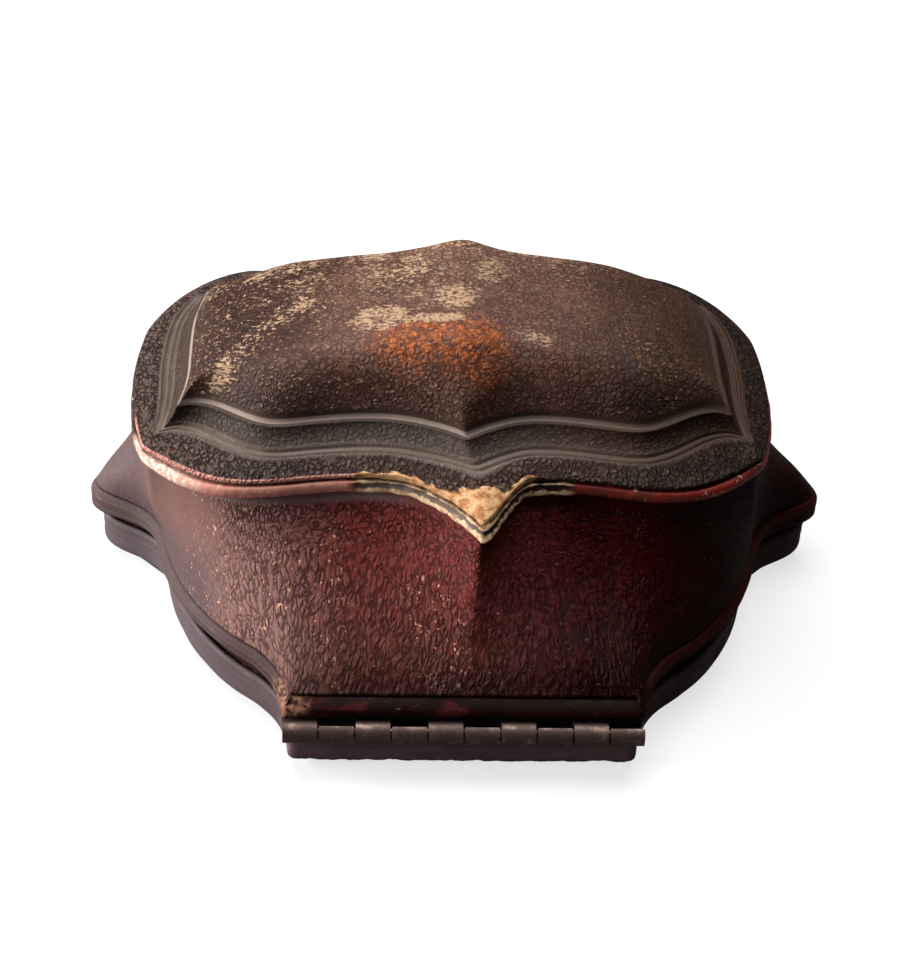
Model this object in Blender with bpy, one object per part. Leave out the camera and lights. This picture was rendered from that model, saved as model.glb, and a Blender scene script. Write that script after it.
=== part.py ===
"""Leather-covered shaped case for a bangle, closed.

Metres, +Z up. The underside rests on Z = 0. The hinge side faces -Y, the push button +Y,
and the two pointed ears lie on the X axis.
"""
import bmesh
import bpy
import math
from mathutils import Vector

for old in list(bpy.data.objects):
    bpy.data.objects.remove(old, do_unlink=True)

# Main sizes
CASE_HALF_WIDTH = 0.0574
CASE_HALF_DEPTH = 0.0495
BASE_HEIGHT = 0.0070
JOINT_GAP = 0.0009
BAND_HEIGHT = 0.0043
WALL_HEIGHT = 0.0186
BEAD_HEIGHT = 0.0018
BORDER_RISE = 0.0009
COVE_RISE = 0.0033
CROWN_RISE = 0.0078
CROWN_DOME = 0.0034
CROWN_DOME_HALF_WIDTH = 0.0300

# Skins, boards and gaps
SEAT_GAP = 0.0003
LEATHER = 0.0008
PAPER = 0.0004
PANEL = 0.0008
BASE_EDGE_ROUND = 0.0015
TONGUE_THICKNESS = 0.0012
TONGUE_RISE = 0.0032
TONGUE_CLEARANCE = 0.0007
HINGE_EDGE_RISE = 0.0010
LOBE_BOW = 0.0013
TOOLED_LINE_DEPTH = 0.0003
CROWN_RIDGE = 0.0006
LINING = 0.0007

# Hinge
BARREL_RADIUS = 0.00165
ROLL_THICKNESS = 0.0006
PIN_RADIUS = 0.0007
HINGE_STAND_OFF = 0.0006
LEAF_THICKNESS = 0.0004
LEAF_LENGTH = 0.0035
KNUCKLES = 10
NAIL_RADIUS = 0.0005
NAIL_DEPTH = 0.0030

# Clasp
BUTTON_RADIUS = 0.00165
BUTTON_PROUD = 0.0018
STEM_RADIUS = 0.0008
BEZEL_WIDTH = 0.00045
BEZEL_THICKNESS = 0.0005
BUTTON_TRAVEL = 0.0009
HOUSING_HALF_LENGTH = 0.0090
HOUSING_WALL = 0.0004
CATCH_ARM = 0.0072
CATCH_THICKNESS = 0.0004
CATCH_EYE_RADIUS = 0.0009
CATCH_AXLE_RADIUS = 0.0003
CATCH_HEIGHT = 0.0030
HOOK_HALF_WIDTH = 0.0015
HOOK_REACH = 0.0006
STRIKE_HALF_LENGTH = 0.0062

# Hand work: the plateau stands a little off centre and its points lean
PLATEAU_SHIFT = -0.0015
POINT_HALF_WIDTH = 0.0090
FRONT_POINT_LEAN = 0.0011
LIP_LEAN = 0.0038
TOOLED_LEAN = 0.0032
FILLET_LEAN = 0.0013
SHOULDER_LEAN = 0.0006

# Inside
BED_THICKNESS = 0.0040
SADDLE_HALF_WIDTH = 0.0250
SADDLE_HALF_DEPTH = 0.0185
SADDLE_HEIGHT = 0.0160
PUFF_DROP = 0.0030

# Plan outlines, one quarter each, from the middle of the hinge side to the tip of an ear.
# Each row holds the steps, the curve's control points and its end, as shares of the
# case's half width and half depth. The plateau's corners are rounder at the front.
HINGE_END_SHARE = 0.448
INNER_DEPTH_SHARE = 0.869
RIM_SHARES = (
    (4, (), (HINGE_END_SHARE, -1.0)),
    (3, ((0.453, -0.863),), (0.540, -0.774)),
    (4, ((0.745, -0.600),), (0.800, -0.265)),
    (2, ((0.816, -0.168),), (0.915, -0.111)),
    (2, ((1.000, -0.062),), (1.000, 0.0)),
)
LIP_SHARES = (
    (2, ((0.087, -0.566),), (0.157, -0.523)),
    (2, ((0.244, -0.497),), (0.418, -0.537)),
    (3, ((0.488, -0.552),), (0.557, -0.549)),
    (4, ((0.672, -0.541),), (0.787, -0.390)),
    (2, ((0.820, -0.300),), (0.829, -0.182)),
    (2, ((0.836, -0.091),), (0.836, 0.0)),
)
LIP_FRONT_SHARES = LIP_SHARES[:3] + (
    (4, ((0.630, -0.530), (0.695, -0.470)), (0.748, -0.372)),
    (2, ((0.800, -0.280),), (0.824, -0.185)),
    (2, ((0.836, -0.090),), (0.836, 0.0)),
)
TOOLED_SHARES = (
    (2, ((0.070, -0.451),), (0.157, -0.426)),
    (2, ((0.244, -0.410),), (0.401, -0.451)),
    (3, ((0.463, -0.467),), (0.505, -0.453)),
    (4, ((0.600, -0.430), (0.668, -0.235)), (0.757, -0.345)),
    (2, ((0.738, -0.240),), (0.744, -0.140)),
    (2, ((0.751, -0.070),), (0.751, 0.0)),
)
TOOLED_FRONT_SHARES = TOOLED_SHARES[:3] + (
    (4, ((0.580, -0.435), (0.625, -0.350)), (0.690, -0.352)),
    (2, ((0.722, -0.300),), (0.739, -0.215)),
    (2, ((0.751, -0.105),), (0.751, 0.0)),
)
FILLET_SHARES = (
    (2, ((0.073, -0.361),), (0.157, -0.335)),
    (2, ((0.244, -0.321),), (0.383, -0.361)),
    (3, ((0.447, -0.381),), (0.491, -0.368)),
    (4, ((0.560, -0.345), (0.632, -0.220)), (0.700, -0.290)),
    (2, ((0.685, -0.205),), (0.687, -0.125)),
    (2, ((0.690, -0.061),), (0.690, 0.0)),
)
FILLET_FRONT_SHARES = FILLET_SHARES[:3] + (
    (4, ((0.555, -0.345), (0.595, -0.280)), (0.652, -0.298)),
    (2, ((0.677, -0.240),), (0.686, -0.150)),
    (2, ((0.690, -0.070),), (0.690, 0.0)),
)
SHOULDER_SHARES = (
    (2, ((0.073, -0.226),), (0.150, -0.214)),
    (2, ((0.235, -0.206),), (0.325, -0.220)),
    (3, ((0.370, -0.220),), (0.402, -0.206)),
    (4, ((0.460, -0.180), (0.498, -0.140)), (0.518, -0.104)),
    (2, ((0.530, -0.080),), (0.536, -0.053)),
    (2, ((0.540, -0.026),), (0.540, 0.0)),
)
INNER_SHARES = (
    (4, (), (0.383, -INNER_DEPTH_SHARE)),
    (3, ((0.422, -0.792),), (0.488, -0.715)),
    (4, ((0.650, -0.541),), (0.714, -0.253)),
    (2, ((0.742, -0.174),), (0.775, -0.101)),
    (2, ((0.793, -0.053),), (0.793, 0.0)),
)
LIP_START_SHARE = -0.747
TOOLED_START_SHARE = -0.505
FILLET_START_SHARE = -0.424
SHOULDER_START_SHARE = -0.259
BASE_WIDTH_SHARE = 0.972
TRAY_FLOOR_SHARE = 0.26

# Covering thickness as shares of the leather's own: on the sides, turned in, doubled at the
# band, pared at the hinge
SIDE_SHARE = 1.1
TURNED_IN_SHARE = 0.75
DOUBLED_SHARE = 1.4
PARED_SHARE = 0.85
CAVITY_SHARE = 1.9
EDGE_CHAMFER_SHARE = 0.4
TURN_CHAMFER_SHARE = 0.6
TURN_IN_REACH_SHARE = 0.6
PAPER_REACH_SHARE = 0.35

# Where the lid's seams lie, as shares of the way from one plateau outline to the next
PANEL_LAP_SHARE = 0.14
BEAD_INNER_SHARE = 0.38
WALL_TOP_SHARE = 0.28
CAVITY_TOP_SHARE = 0.3
CEILING_SHARE = 0.6
BORDER_SHARES = (0.52, 0.7)
FILLET_EDGE_SHARES = (0.97, 0.03)

# Rim band: how far down its height each tooled step lies
BAND_STEP_SHARES = (0.10, 0.37)
BAND_FOOT_SHARE = 0.12

# The wall's ogee: how far down each level lies, and how far out it has flared by then
WALL_LEVEL_SHARES = (0.0, 0.28, 0.50, 0.68, 0.85, 1.0)
LONG_SIDE_FLARE_SHARES = (0.0, 0.19, 0.40, 0.63, 0.87, 1.0)
EAR_FLARE_SHARES = (0.0, 0.06, 0.20, 0.46, 0.78, 1.0)
SOFTENING_ROUNDS = (6, 6, 4, 2, 1, 0)

CROWN_DOME_POWER = 1.5
CROWN_RIDGE_SHARPNESS = 1.8

# Cross-section of the plateau: how far across from one outline to the next, and the height
CROWN_PROFILE_SHARES = ((0.10, 0.16), (0.25, 0.41), (0.50, 0.69), (0.75, 0.84), (1.0, 0.91))
CROWN_TOP_SHARES = ((0.62, 0.98), (0.28, 1.0))
CROWN_ROUNDS = (0, 0, 2, 4, 7)
COVE_SHARES = ((0.45, 0.18), (0.72, 0.48), (0.90, 0.86))
OUTER_LINE_SHARES = ((0.84, 0.0), (0.90, -1.0), (0.98, 0.6))
INNER_LINE_SHARES = ((0.04, -0.7), (0.20, -0.4), (0.29, 1.2), (0.36, 0.2))

# Heights that follow from the sizes
LID_EDGE = BASE_HEIGHT + JOINT_GAP
HINGE_EDGE = LID_EDGE + HINGE_EDGE_RISE
CREASE = LID_EDGE + BAND_HEIGHT
WALL_FOOT = CREASE + SEAT_GAP
WALL_TOP = WALL_FOOT + WALL_HEIGHT
BEAD_FOOT = WALL_TOP + SEAT_GAP
BEAD_TOP = BEAD_FOOT + BEAD_HEIGHT
PANEL_EDGE = BEAD_TOP + SEAT_GAP + PANEL
TOOLED_HEIGHT = PANEL_EDGE + BORDER_RISE
FILLET_HEIGHT = TOOLED_HEIGHT + COVE_RISE
HINGE_AXIS = Vector((0, -(CASE_HALF_DEPTH + HINGE_STAND_OFF), (BASE_HEIGHT + HINGE_EDGE) / 2))
HINGE_HALF_LENGTH = CASE_HALF_WIDTH * HINGE_END_SHARE
RELIEF = (BARREL_RADIUS + SEAT_GAP) * math.sqrt(2)
LEATHER_UNDERSIDE = PAPER + SEAT_GAP
INNER_SKIN = LEATHER * TURNED_IN_SHARE
TURN_IN_TOP = LEATHER_UNDERSIDE + INNER_SKIN
TRAY_UNDERSIDE = TURN_IN_TOP + SEAT_GAP
TRAY_BED = TRAY_UNDERSIDE + BASE_HEIGHT * TRAY_FLOOR_SHARE
BED_TOP = TRAY_BED + SEAT_GAP + BED_THICKNESS
CAVITY_DROP = LEATHER * CAVITY_SHARE
SIDE_COVER = LEATHER * SIDE_SHARE
BAND_COVER = LEATHER * DOUBLED_SHARE
HINGE_COVER = LEATHER * PARED_SHARE
FLARE_END = len(WALL_LEVEL_SHARES) - 1


def material(name, colour, metallic, roughness):
    made = bpy.data.materials.new(name)
    made.use_nodes = True
    shader = made.node_tree.nodes["Principled BSDF"]
    shader.inputs["Base Color"].default_value = (*colour, 1.0)
    shader.inputs["Metallic"].default_value = metallic
    shader.inputs["Roughness"].default_value = roughness
    return made


def eased(value):
    """Ease from 0 to 1, flat at both ends."""
    value = min(1, max(0, value))
    return value * value * (3 - 2 * value)


def curve_point(points, share):
    while len(points) > 1:
        points = [a.lerp(b, share) for a, b in zip(points, points[1:])]
    return points[0]


def quarter_line(start_share, rows, width):
    """One quarter of an outline, from the middle of a long side to the tip of an ear."""
    scale = Vector((width, CASE_HALF_DEPTH))
    at = Vector((0, start_share)) * scale
    quarter = [at]
    for steps, controls, end in rows:
        points = [at] + [Vector(p) * scale for p in (*controls, end)]
        quarter += [curve_point(points, step / steps) for step in range(1, steps + 1)]
        at = points[-1]
    quarter[-1].y = 0
    return quarter


def outline(start_share, rows, front_rows=None, width=CASE_HALF_WIDTH):
    """Full closed outline, anticlockwise from the middle of the hinge side."""
    back = quarter_line(start_share, rows, width)
    front = quarter_line(start_share, front_rows or rows, width)
    front_right = [Vector((p.x, -p.y)) for p in reversed(front[1:])]
    front_left = [-p for p in front[:-1]]
    back_left = [Vector((-p.x, p.y)) for p in reversed(back[1:])]
    return back[:-1] + front_right + front_left + back_left


def skewed(points, lean):
    """Shift a plateau outline, with the middle of each long side leaning to the right."""
    moved = []
    for p in points:
        reach = lean if p.y < 0 else FRONT_POINT_LEAN
        x = p.x + PLATEAU_SHIFT + reach * math.exp(-((p.x / POINT_HALF_WIDTH) ** 2))
        moved.append(Vector((x, p.y)))
    return moved


RIM = outline(-1.0, RIM_SHARES)
BASE = outline(-1.0, RIM_SHARES, width=CASE_HALF_WIDTH * BASE_WIDTH_SHARE)
LIP = skewed(outline(LIP_START_SHARE, LIP_SHARES, LIP_FRONT_SHARES), LIP_LEAN)
TOOLED = skewed(outline(TOOLED_START_SHARE, TOOLED_SHARES, TOOLED_FRONT_SHARES), TOOLED_LEAN)
FILLET = skewed(outline(FILLET_START_SHARE, FILLET_SHARES, FILLET_FRONT_SHARES), FILLET_LEAN)
SHOULDER = skewed(outline(SHOULDER_START_SHARE, SHOULDER_SHARES), SHOULDER_LEAN)
INNER = outline(-INNER_DEPTH_SHARE, INNER_SHARES)
COUNT = len(RIM)
QUARTER = COUNT // 4
STRAIGHT_STEPS = RIM_SHARES[0][0]
STEP_END = STRAIGHT_STEPS + RIM_SHARES[1][0]


def station(index):
    """Steps from the nearest long side's middle, and whether the hinge side is the nearer."""
    turn = index % (2 * QUARTER)
    steps = min(turn, 2 * QUARTER - turn)
    return steps, index < QUARTER or index > 3 * QUARTER


ON_HINGE = [station(i)[1] and station(i)[0] <= STRAIGHT_STEPS for i in range(COUNT)]


def edge_height(index):
    """Height of the lid's lower edge: it bows up over each lobe."""
    steps = station(index)[0]
    if steps <= STRAIGHT_STEPS:
        return HINGE_EDGE
    along = (steps - STRAIGHT_STEPS) / (QUARTER - STRAIGHT_STEPS)
    return LID_EDGE + HINGE_EDGE_RISE * (1 - along) + LOBE_BOW * math.sin(math.pi * along)


def ear_weight(index):
    return eased((station(index)[0] - STEP_END) / (QUARTER - STEP_END))


EDGES = [edge_height(i) for i in range(COUNT)]
EAR_WEIGHTS = [ear_weight(i) for i in range(COUNT)]


def inset(points, distance, at_hinge=None):
    """Move an outline inwards along its own normals, by another distance on the hinge side."""
    moved = []
    for i, point in enumerate(points):
        before = (point - points[i - 1]).normalized()
        after = (points[(i + 1) % COUNT] - point).normalized()
        normal = Vector((-before.y - after.y, before.x + after.x)).normalized()
        lean = max(0.6, normal.dot(Vector((-before.y, before.x))))
        here = at_hinge if at_hinge is not None and ON_HINGE[i] else distance
        moved.append(point + normal * here / lean)
    return moved


def between(first, second, share):
    return [a.lerp(b, share) for a, b in zip(first, second)]


def softened(points, rounds, kept):
    """Round off an outline, but for the share of each point that is kept."""
    for _ in range(rounds):
        means = [(points[i - 1] + p * 2 + points[(i + 1) % COUNT]) / 4 for i, p in enumerate(points)]
        points = [mean.lerp(p, share) for mean, p, share in zip(means, points, kept)]
    return points


def ring(points, height, at_hinge=None):
    """Lift an outline to a height, which may differ at each station."""
    heights = height if isinstance(height, list) else [height] * COUNT
    if at_hinge is not None:
        heights = [at_hinge if on else h for on, h in zip(ON_HINGE, heights)]
    return [Vector((p.x, p.y, h)) for p, h in zip(points, heights)]


def solid(name, points, faces, finish, origin=Vector(), parent=None):
    mesh = bpy.data.meshes.new(name)
    mesh.from_pydata([tuple(p - origin) for p in points], [], faces)
    shape = bmesh.new()
    shape.from_mesh(mesh)
    bmesh.ops.remove_doubles(shape, verts=shape.verts, dist=SEAT_GAP / 1000)
    bmesh.ops.recalc_face_normals(shape, faces=shape.faces)
    shape.to_mesh(mesh)
    shape.free()
    mesh.materials.append(finish)
    made = bpy.data.objects.new(name, mesh)
    bpy.context.collection.objects.link(made)
    if parent:
        made.parent = parent
    else:
        made.location = origin
    return made


def joined_rings(rings, closed):
    """Skin faces between rings of the same length, split along their shorter diagonals."""
    size = len(rings[0])
    points = [p for one in rings for p in one]
    faces = []
    for k in range(len(rings) if closed else len(rings) - 1):
        here = k * size
        there = (k + 1) % len(rings) * size
        for i in range(size):
            j = (i + 1) % size
            a, b, c, d = here + i, here + j, there + j, there + i
            if (points[a] - points[c]).length <= (points[b] - points[d]).length:
                faces += [(a, b, c), (a, c, d)]
            else:
                faces += [(a, b, d), (b, c, d)]
    return points, faces


def hoop(name, rings, finish, **placing):
    """A ring-shaped solid from the rings round its cross-section."""
    points, faces = joined_rings(rings, True)
    return solid(name, points, faces, finish, **placing)


def capped(name, rings, finish, ends=None, **placing):
    """A solid from stacked rings, closed by a fan at each end."""
    points, faces = joined_rings(rings, False)
    size = len(rings[0])
    last = (len(rings) - 1) * size
    for k, (first, one) in enumerate(((0, rings[0]), (last, rings[-1]))):
        centre = sum(one, Vector()) / size
        if ends and ends[k] is not None:
            centre.z = ends[k]
        points.append(centre)
        faces += [(first + i, first + (i + 1) % size, len(points) - 1) for i in range(size)]
    return solid(name, points, faces, finish, **placing)


def circle(centre, radius, sides, across, up):
    """Points of a circle in the plane of two directions."""
    turns = [2 * math.pi * (i + 0.5) / sides for i in range(sides)]
    return [centre + across * radius * math.cos(t) + up * radius * math.sin(t) for t in turns]


def turned(name, profile, centre, direction, sides, finish, tube=False, **placing):
    """A lathe shape: a list of radius and distance along the direction from the centre."""
    across = direction.orthogonal().normalized()
    up = direction.cross(across)
    rings = [circle(centre + direction * along, r, sides, across, up) for r, along in profile]
    points, faces = joined_rings(rings, tube)
    if not tube:
        last = (len(rings) - 1) * sides
        faces += [tuple(range(sides)), tuple(range(last, last + sides))]
    return solid(name, points, faces, finish, **placing)


def box_data(low, high):
    spans = list(zip(low, high))
    corners = [Vector((x, y, z)) for x in spans[0] for y in spans[1] for z in spans[2]]
    faces = [(0, 1, 3, 2), (4, 6, 7, 5), (0, 4, 5, 1), (2, 3, 7, 6), (0, 2, 6, 4), (1, 5, 7, 3)]
    return corners, faces


def box(name, low, high, finish, **placing):
    points, faces = box_data(low, high)
    return solid(name, points, faces, finish, **placing)


def shape(target, cutter, operation):
    """Cut or join with a helper solid, which stays hidden."""
    modifier = target.modifiers.new(cutter.name, "BOOLEAN")
    modifier.object = cutter
    modifier.operation = operation
    modifier.solver = "EXACT"
    cutter.hide_render = True
    cutter.display_type = "WIRE"


X_WAY = Vector((1, 0, 0))
Y_WAY = Vector((0, 1, 0))
Z_WAY = Vector((0, 0, 1))

OXBLOOD = material("oxblood_leather", (0.10, 0.022, 0.018), 0.0, 0.45)
WORN = material("worn_leather", (0.34, 0.10, 0.07), 0.0, 0.5)
DARK_LEATHER = material("dark_leather", (0.05, 0.016, 0.014), 0.0, 0.45)
WOOD = material("carcass_wood", (0.55, 0.40, 0.25), 0.0, 0.7)
DARK_PAPER = material("dark_paper", (0.03, 0.03, 0.04), 0.0, 0.8)
VELVET = material("velvet", (0.05, 0.03, 0.16), 0.0, 0.95)
SATIN = material("satin", (0.72, 0.66, 0.52), 0.0, 0.35)
BRASS = material("browned_brass", (0.30, 0.19, 0.09), 1.0, 0.4)
STEEL = material("spring_steel", (0.35, 0.35, 0.37), 1.0, 0.3)

# Axis frames of the moving pieces
lid_axis = bpy.data.objects.new("lid_axis", None)
lid_axis.location = HINGE_AXIS
bpy.context.collection.objects.link(lid_axis)
LID = {"origin": HINGE_AXIS, "parent": lid_axis}

# Base: underpaper, leather, wooden tray, tongue
PAPER_LINE = between(BASE, INNER, PAPER_REACH_SHARE)
TURN_IN_LINE = between(BASE, INNER, TURN_IN_REACH_SHARE)
capped(
    "base_underpaper",
    [ring(PAPER_LINE, 0), ring(PAPER_LINE, PAPER)],
    DARK_PAPER,
)
HINGE_TOP_INSET = RELIEF - (HINGE_AXIS.z - BASE_HEIGHT) - HINGE_STAND_OFF
HINGE_FOOT = HINGE_AXIS.z - RELIEF + HINGE_STAND_OFF
EDGE_CHAMFER = BASE_EDGE_ROUND * EDGE_CHAMFER_SHARE
TURN_CHAMFER = BASE_EDGE_ROUND * TURN_CHAMFER_SHARE
base_leather = hoop(
    "base_leather",
    [
        ring(inset(BASE, SEAT_GAP, HINGE_TOP_INSET), BASE_HEIGHT),
        ring(BASE, BASE_HEIGHT - BASE_EDGE_ROUND / 3, HINGE_FOOT),
        ring(BASE, LEATHER_UNDERSIDE + BASE_EDGE_ROUND),
        ring(inset(BASE, EDGE_CHAMFER), LEATHER_UNDERSIDE + EDGE_CHAMFER),
        ring(inset(BASE, BASE_EDGE_ROUND), LEATHER_UNDERSIDE),
        ring(TURN_IN_LINE, LEATHER_UNDERSIDE),
        ring(TURN_IN_LINE, TURN_IN_TOP),
        ring(inset(BASE, BASE_EDGE_ROUND), TURN_IN_TOP),
        ring(inset(BASE, SIDE_COVER), TURN_IN_TOP + TURN_CHAMFER),
        ring(inset(BASE, SIDE_COVER, HINGE_TOP_INSET + HINGE_COVER), BASE_HEIGHT),
    ],
    DARK_LEATHER,
)
BOARD_INSET = SIDE_COVER + SEAT_GAP
BOARD_TOP = BASE_HEIGHT - SEAT_GAP * 0.7
base_board = capped(
    "base_board",
    [
        ring(inset(BASE, BASE_EDGE_ROUND + SEAT_GAP * 2), TRAY_UNDERSIDE),
        ring(inset(BASE, BOARD_INSET), TRAY_UNDERSIDE + TURN_CHAMFER),
        ring(inset(BASE, BOARD_INSET, HINGE_TOP_INSET + HINGE_COVER + SEAT_GAP), BOARD_TOP),
        ring(INNER, BOARD_TOP),
        ring(INNER, TRAY_BED),
    ],
    WOOD,
)
TONGUE_TOP = BASE_HEIGHT + TONGUE_RISE
TONGUE_INNER = inset(INNER, SEAT_GAP + TONGUE_THICKNESS)
hoop(
    "base_tongue",
    [
        ring(inset(INNER, SEAT_GAP), TRAY_BED + SEAT_GAP),
        ring(inset(INNER, SEAT_GAP), TONGUE_TOP - TONGUE_THICKNESS / 3),
        ring(inset(INNER, SEAT_GAP + TONGUE_THICKNESS / 3), TONGUE_TOP),
        ring(TONGUE_INNER, TONGUE_TOP),
        ring(TONGUE_INNER, TRAY_BED + SEAT_GAP),
    ],
    DARK_PAPER,
)

# Velvet bed and the saddle the bangle goes round
BED_EDGE = inset(TONGUE_INNER, SEAT_GAP)
capped(
    "velvet_bed",
    [
        ring(BED_EDGE, TRAY_BED + SEAT_GAP),
        ring(BED_EDGE, BED_TOP - BED_THICKNESS * 0.3),
        ring(inset(BED_EDGE, BED_THICKNESS * 0.1), BED_TOP - BED_THICKNESS * 0.08),
        ring(inset(BED_EDGE, BED_THICKNESS * 0.4), BED_TOP),
    ],
    VELVET,
)
SADDLE_SIDES = 36
# Rise and width of the saddle's sections: drawn in at the foot, crowned on top
SADDLE_SECTION_SHARES = (
    (0.0, 0.97),
    (0.08, 1.0),
    (0.40, 0.95),
    (0.72, 0.96),
    (0.86, 0.91),
    (0.95, 0.78),
    (0.99, 0.5),
)


def saddle_ring(rise, width):
    turns = [2 * math.pi * i / SADDLE_SIDES for i in range(SADDLE_SIDES)]
    height = BED_TOP + SEAT_GAP + SADDLE_HEIGHT * rise
    across = SADDLE_HALF_WIDTH * width
    along = SADDLE_HALF_DEPTH * width
    return [Vector((across * math.cos(t), along * math.sin(t), height)) for t in turns]


capped(
    "bangle_saddle",
    [saddle_ring(rise, width) for rise, width in SADDLE_SECTION_SHARES],
    VELVET,
    ends=(None, BED_TOP + SEAT_GAP + SADDLE_HEIGHT),
)

# Lid: wooden shell, wall leather, rim band, bead and plateau panel
WALL_TOP_LINE = between(LIP, TOOLED, WALL_TOP_SHARE)
CREASE_LINE = inset(RIM, SIDE_COVER, SIDE_COVER + HINGE_STAND_OFF * 2)
CAVITY_TOP_LINE = between(TOOLED, FILLET, CAVITY_TOP_SHARE)
CAVITY_FOOT_LINE = inset(INNER, SEAT_GAP - TONGUE_CLEARANCE)


def flared(top, foot, level):
    """The outline at one level of the ogee between a top and a foot outline."""
    foot = softened(foot, SOFTENING_ROUNDS[level], EAR_WEIGHTS)
    long_side = LONG_SIDE_FLARE_SHARES[level]
    ear = EAR_FLARE_SHARES[level]
    shares = [long_side + (ear - long_side) * weight for weight in EAR_WEIGHTS]
    return [a.lerp(b, share) for a, b, share in zip(top, foot, shares)]


def wall_height(level):
    return WALL_FOOT + WALL_HEIGHT * (1 - WALL_LEVEL_SHARES[level])


def skin_drop(level):
    """How much lower an inner skin lies: nothing at the foot, where the wall is upright."""
    return min(1, (1 - WALL_LEVEL_SHARES[level]) * 3)


LEVELS = range(FLARE_END + 1)
WALL_LINES = [flared(WALL_TOP_LINE, CREASE_LINE, level) for level in LEVELS]
SHELL_SKIN = INNER_SKIN + SEAT_GAP * 0.9
wall_outer = [ring(WALL_LINES[k], wall_height(k)) for k in LEVELS]


def inner_wall(lines, depth):
    """Rings a skin's depth inside the wall, lowered where the wall leans over."""
    drops = [skin_drop(level) * depth * PARED_SHARE for level in LEVELS]
    return [ring(inset(lines[k], depth), wall_height(k) - drops[k]) for k in LEVELS]


wall_inner = inner_wall(WALL_LINES, INNER_SKIN)
hoop("lid_wall_leather", wall_outer[::-1] + wall_inner, OXBLOOD, **LID)

BAND_INNER = LEATHER * TURN_CHAMFER_SHARE
BAND_FOOT = [e + BAND_HEIGHT * BAND_FOOT_SHARE for e in EDGES]
HINGE_BAND_PROUD = HINGE_AXIS.z + RELIEF - HINGE_STAND_OFF - LEATHER / 2
hoop(
    "lid_rim_band",
    [
        ring(CREASE_LINE, CREASE),
        ring(inset(RIM, LEATHER / 2, BAND_COVER), CREASE - BAND_HEIGHT * BAND_STEP_SHARES[0]),
        ring(RIM, CREASE - BAND_HEIGHT * BAND_STEP_SHARES[1]),
        ring(inset(RIM, 0, LEATHER / 2), BAND_FOOT, HINGE_BAND_PROUD),
        ring(inset(RIM, LEATHER / 2, HINGE_TOP_INSET), EDGES),
        ring(inset(RIM, BAND_COVER, HINGE_TOP_INSET + HINGE_COVER), EDGES),
        ring(inset(CREASE_LINE, BAND_INNER), CREASE),
    ],
    DARK_LEATHER,
    **LID,
)

BEAD_INNER = between(LIP, TOOLED, BEAD_INNER_SHARE)
BEAD_SECTION_SHARES = ((0.08, 1.0), (0.0, 0.75), (-0.02, 0.5), (0.0, 0.25), (0.08, 0.0))
bead = []
for out, up in BEAD_SECTION_SHARES:
    bead.append(ring(between(LIP, TOOLED, out), BEAD_FOOT + BEAD_HEIGHT * up))
hoop("lid_bead", bead + [ring(BEAD_INNER, BEAD_FOOT), ring(BEAD_INNER, BEAD_TOP)], WORN, **LID)

# Plateau panel, from its edge over the bead to the middle of the crown
def crown_heights(points, rise, across):
    """Crown heights: domed across the width, with a soft ridge between the two points."""
    share = eased(across)
    heights = []
    for p in points:
        dome = CROWN_DOME * (1 - (abs(p.x) / CROWN_DOME_HALF_WIDTH) ** CROWN_DOME_POWER)
        ridge = CROWN_RIDGE * math.exp(-((p.x / POINT_HALF_WIDTH * CROWN_RIDGE_SHARPNESS) ** 2))
        heights.append(FILLET_HEIGHT + CROWN_RISE * rise + (dome + ridge) * share)
    return heights


NONE_KEPT = [0] * COUNT
ROUND_SHOULDER = softened(SHOULDER, CROWN_ROUNDS[-1], NONE_KEPT)


def crown_ring(across, rise, rounds):
    points = softened(between(FILLET, SHOULDER, across), rounds, NONE_KEPT)
    return ring(points, crown_heights(points, rise, across))


def crown_top_ring(scale, rise):
    middle = Vector((PLATEAU_SHIFT * (1 - scale), 0))
    points = [p * scale + middle for p in ROUND_SHOULDER]
    return ring(points, crown_heights(points, rise, 1))


crown = [crown_ring(*place, rounds) for place, rounds in zip(CROWN_PROFILE_SHARES, CROWN_ROUNDS)]
crown += [crown_top_ring(scale, rise) for scale, rise in CROWN_TOP_SHARES]
structure = [
    ring(between(LIP, TOOLED, PANEL_LAP_SHARE), PANEL_EDGE),
    ring(between(LIP, TOOLED, BORDER_SHARES[0]), PANEL_EDGE + BORDER_RISE * BORDER_SHARES[1]),
    ring(between(TOOLED, FILLET, PANEL_LAP_SHARE), TOOLED_HEIGHT),
]
cove = []
for across, rise in COVE_SHARES:
    cove.append(ring(between(TOOLED, FILLET, across), TOOLED_HEIGHT + COVE_RISE * rise))


def line_ring(first, second, across, lift):
    """A ring of a tooled line, raised or sunk by a share of the lines' depth."""
    return ring(between(first, second, across), TOOLED_HEIGHT + TOOLED_LINE_DEPTH * lift)


outer_line = [line_ring(LIP, TOOLED, across, lift) for across, lift in OUTER_LINE_SHARES]
inner_line = [line_ring(TOOLED, FILLET, across, lift) for across, lift in INNER_LINE_SHARES]
fillet = [
    ring(between(TOOLED, FILLET, FILLET_EDGE_SHARES[0]), FILLET_HEIGHT + TOOLED_LINE_DEPTH),
    ring(between(FILLET, SHOULDER, FILLET_EDGE_SHARES[1]), FILLET_HEIGHT + TOOLED_LINE_DEPTH / 2),
]


def lowered(rings, drop):
    return [[p - Z_WAY * drop for p in one] for one in rings]


panel_top = structure[:2] + outer_line + inner_line + cove + fillet + crown
panel_under = lowered(structure + cove[1:] + crown, PANEL)
CROWN_TOP = FILLET_HEIGHT + CROWN_RISE + CROWN_DOME + CROWN_RIDGE
capped(
    "lid_top_panel",
    panel_top[::-1] + panel_under,
    OXBLOOD,
    ends=(CROWN_TOP, CROWN_TOP - PANEL),
    **LID,
)

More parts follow.
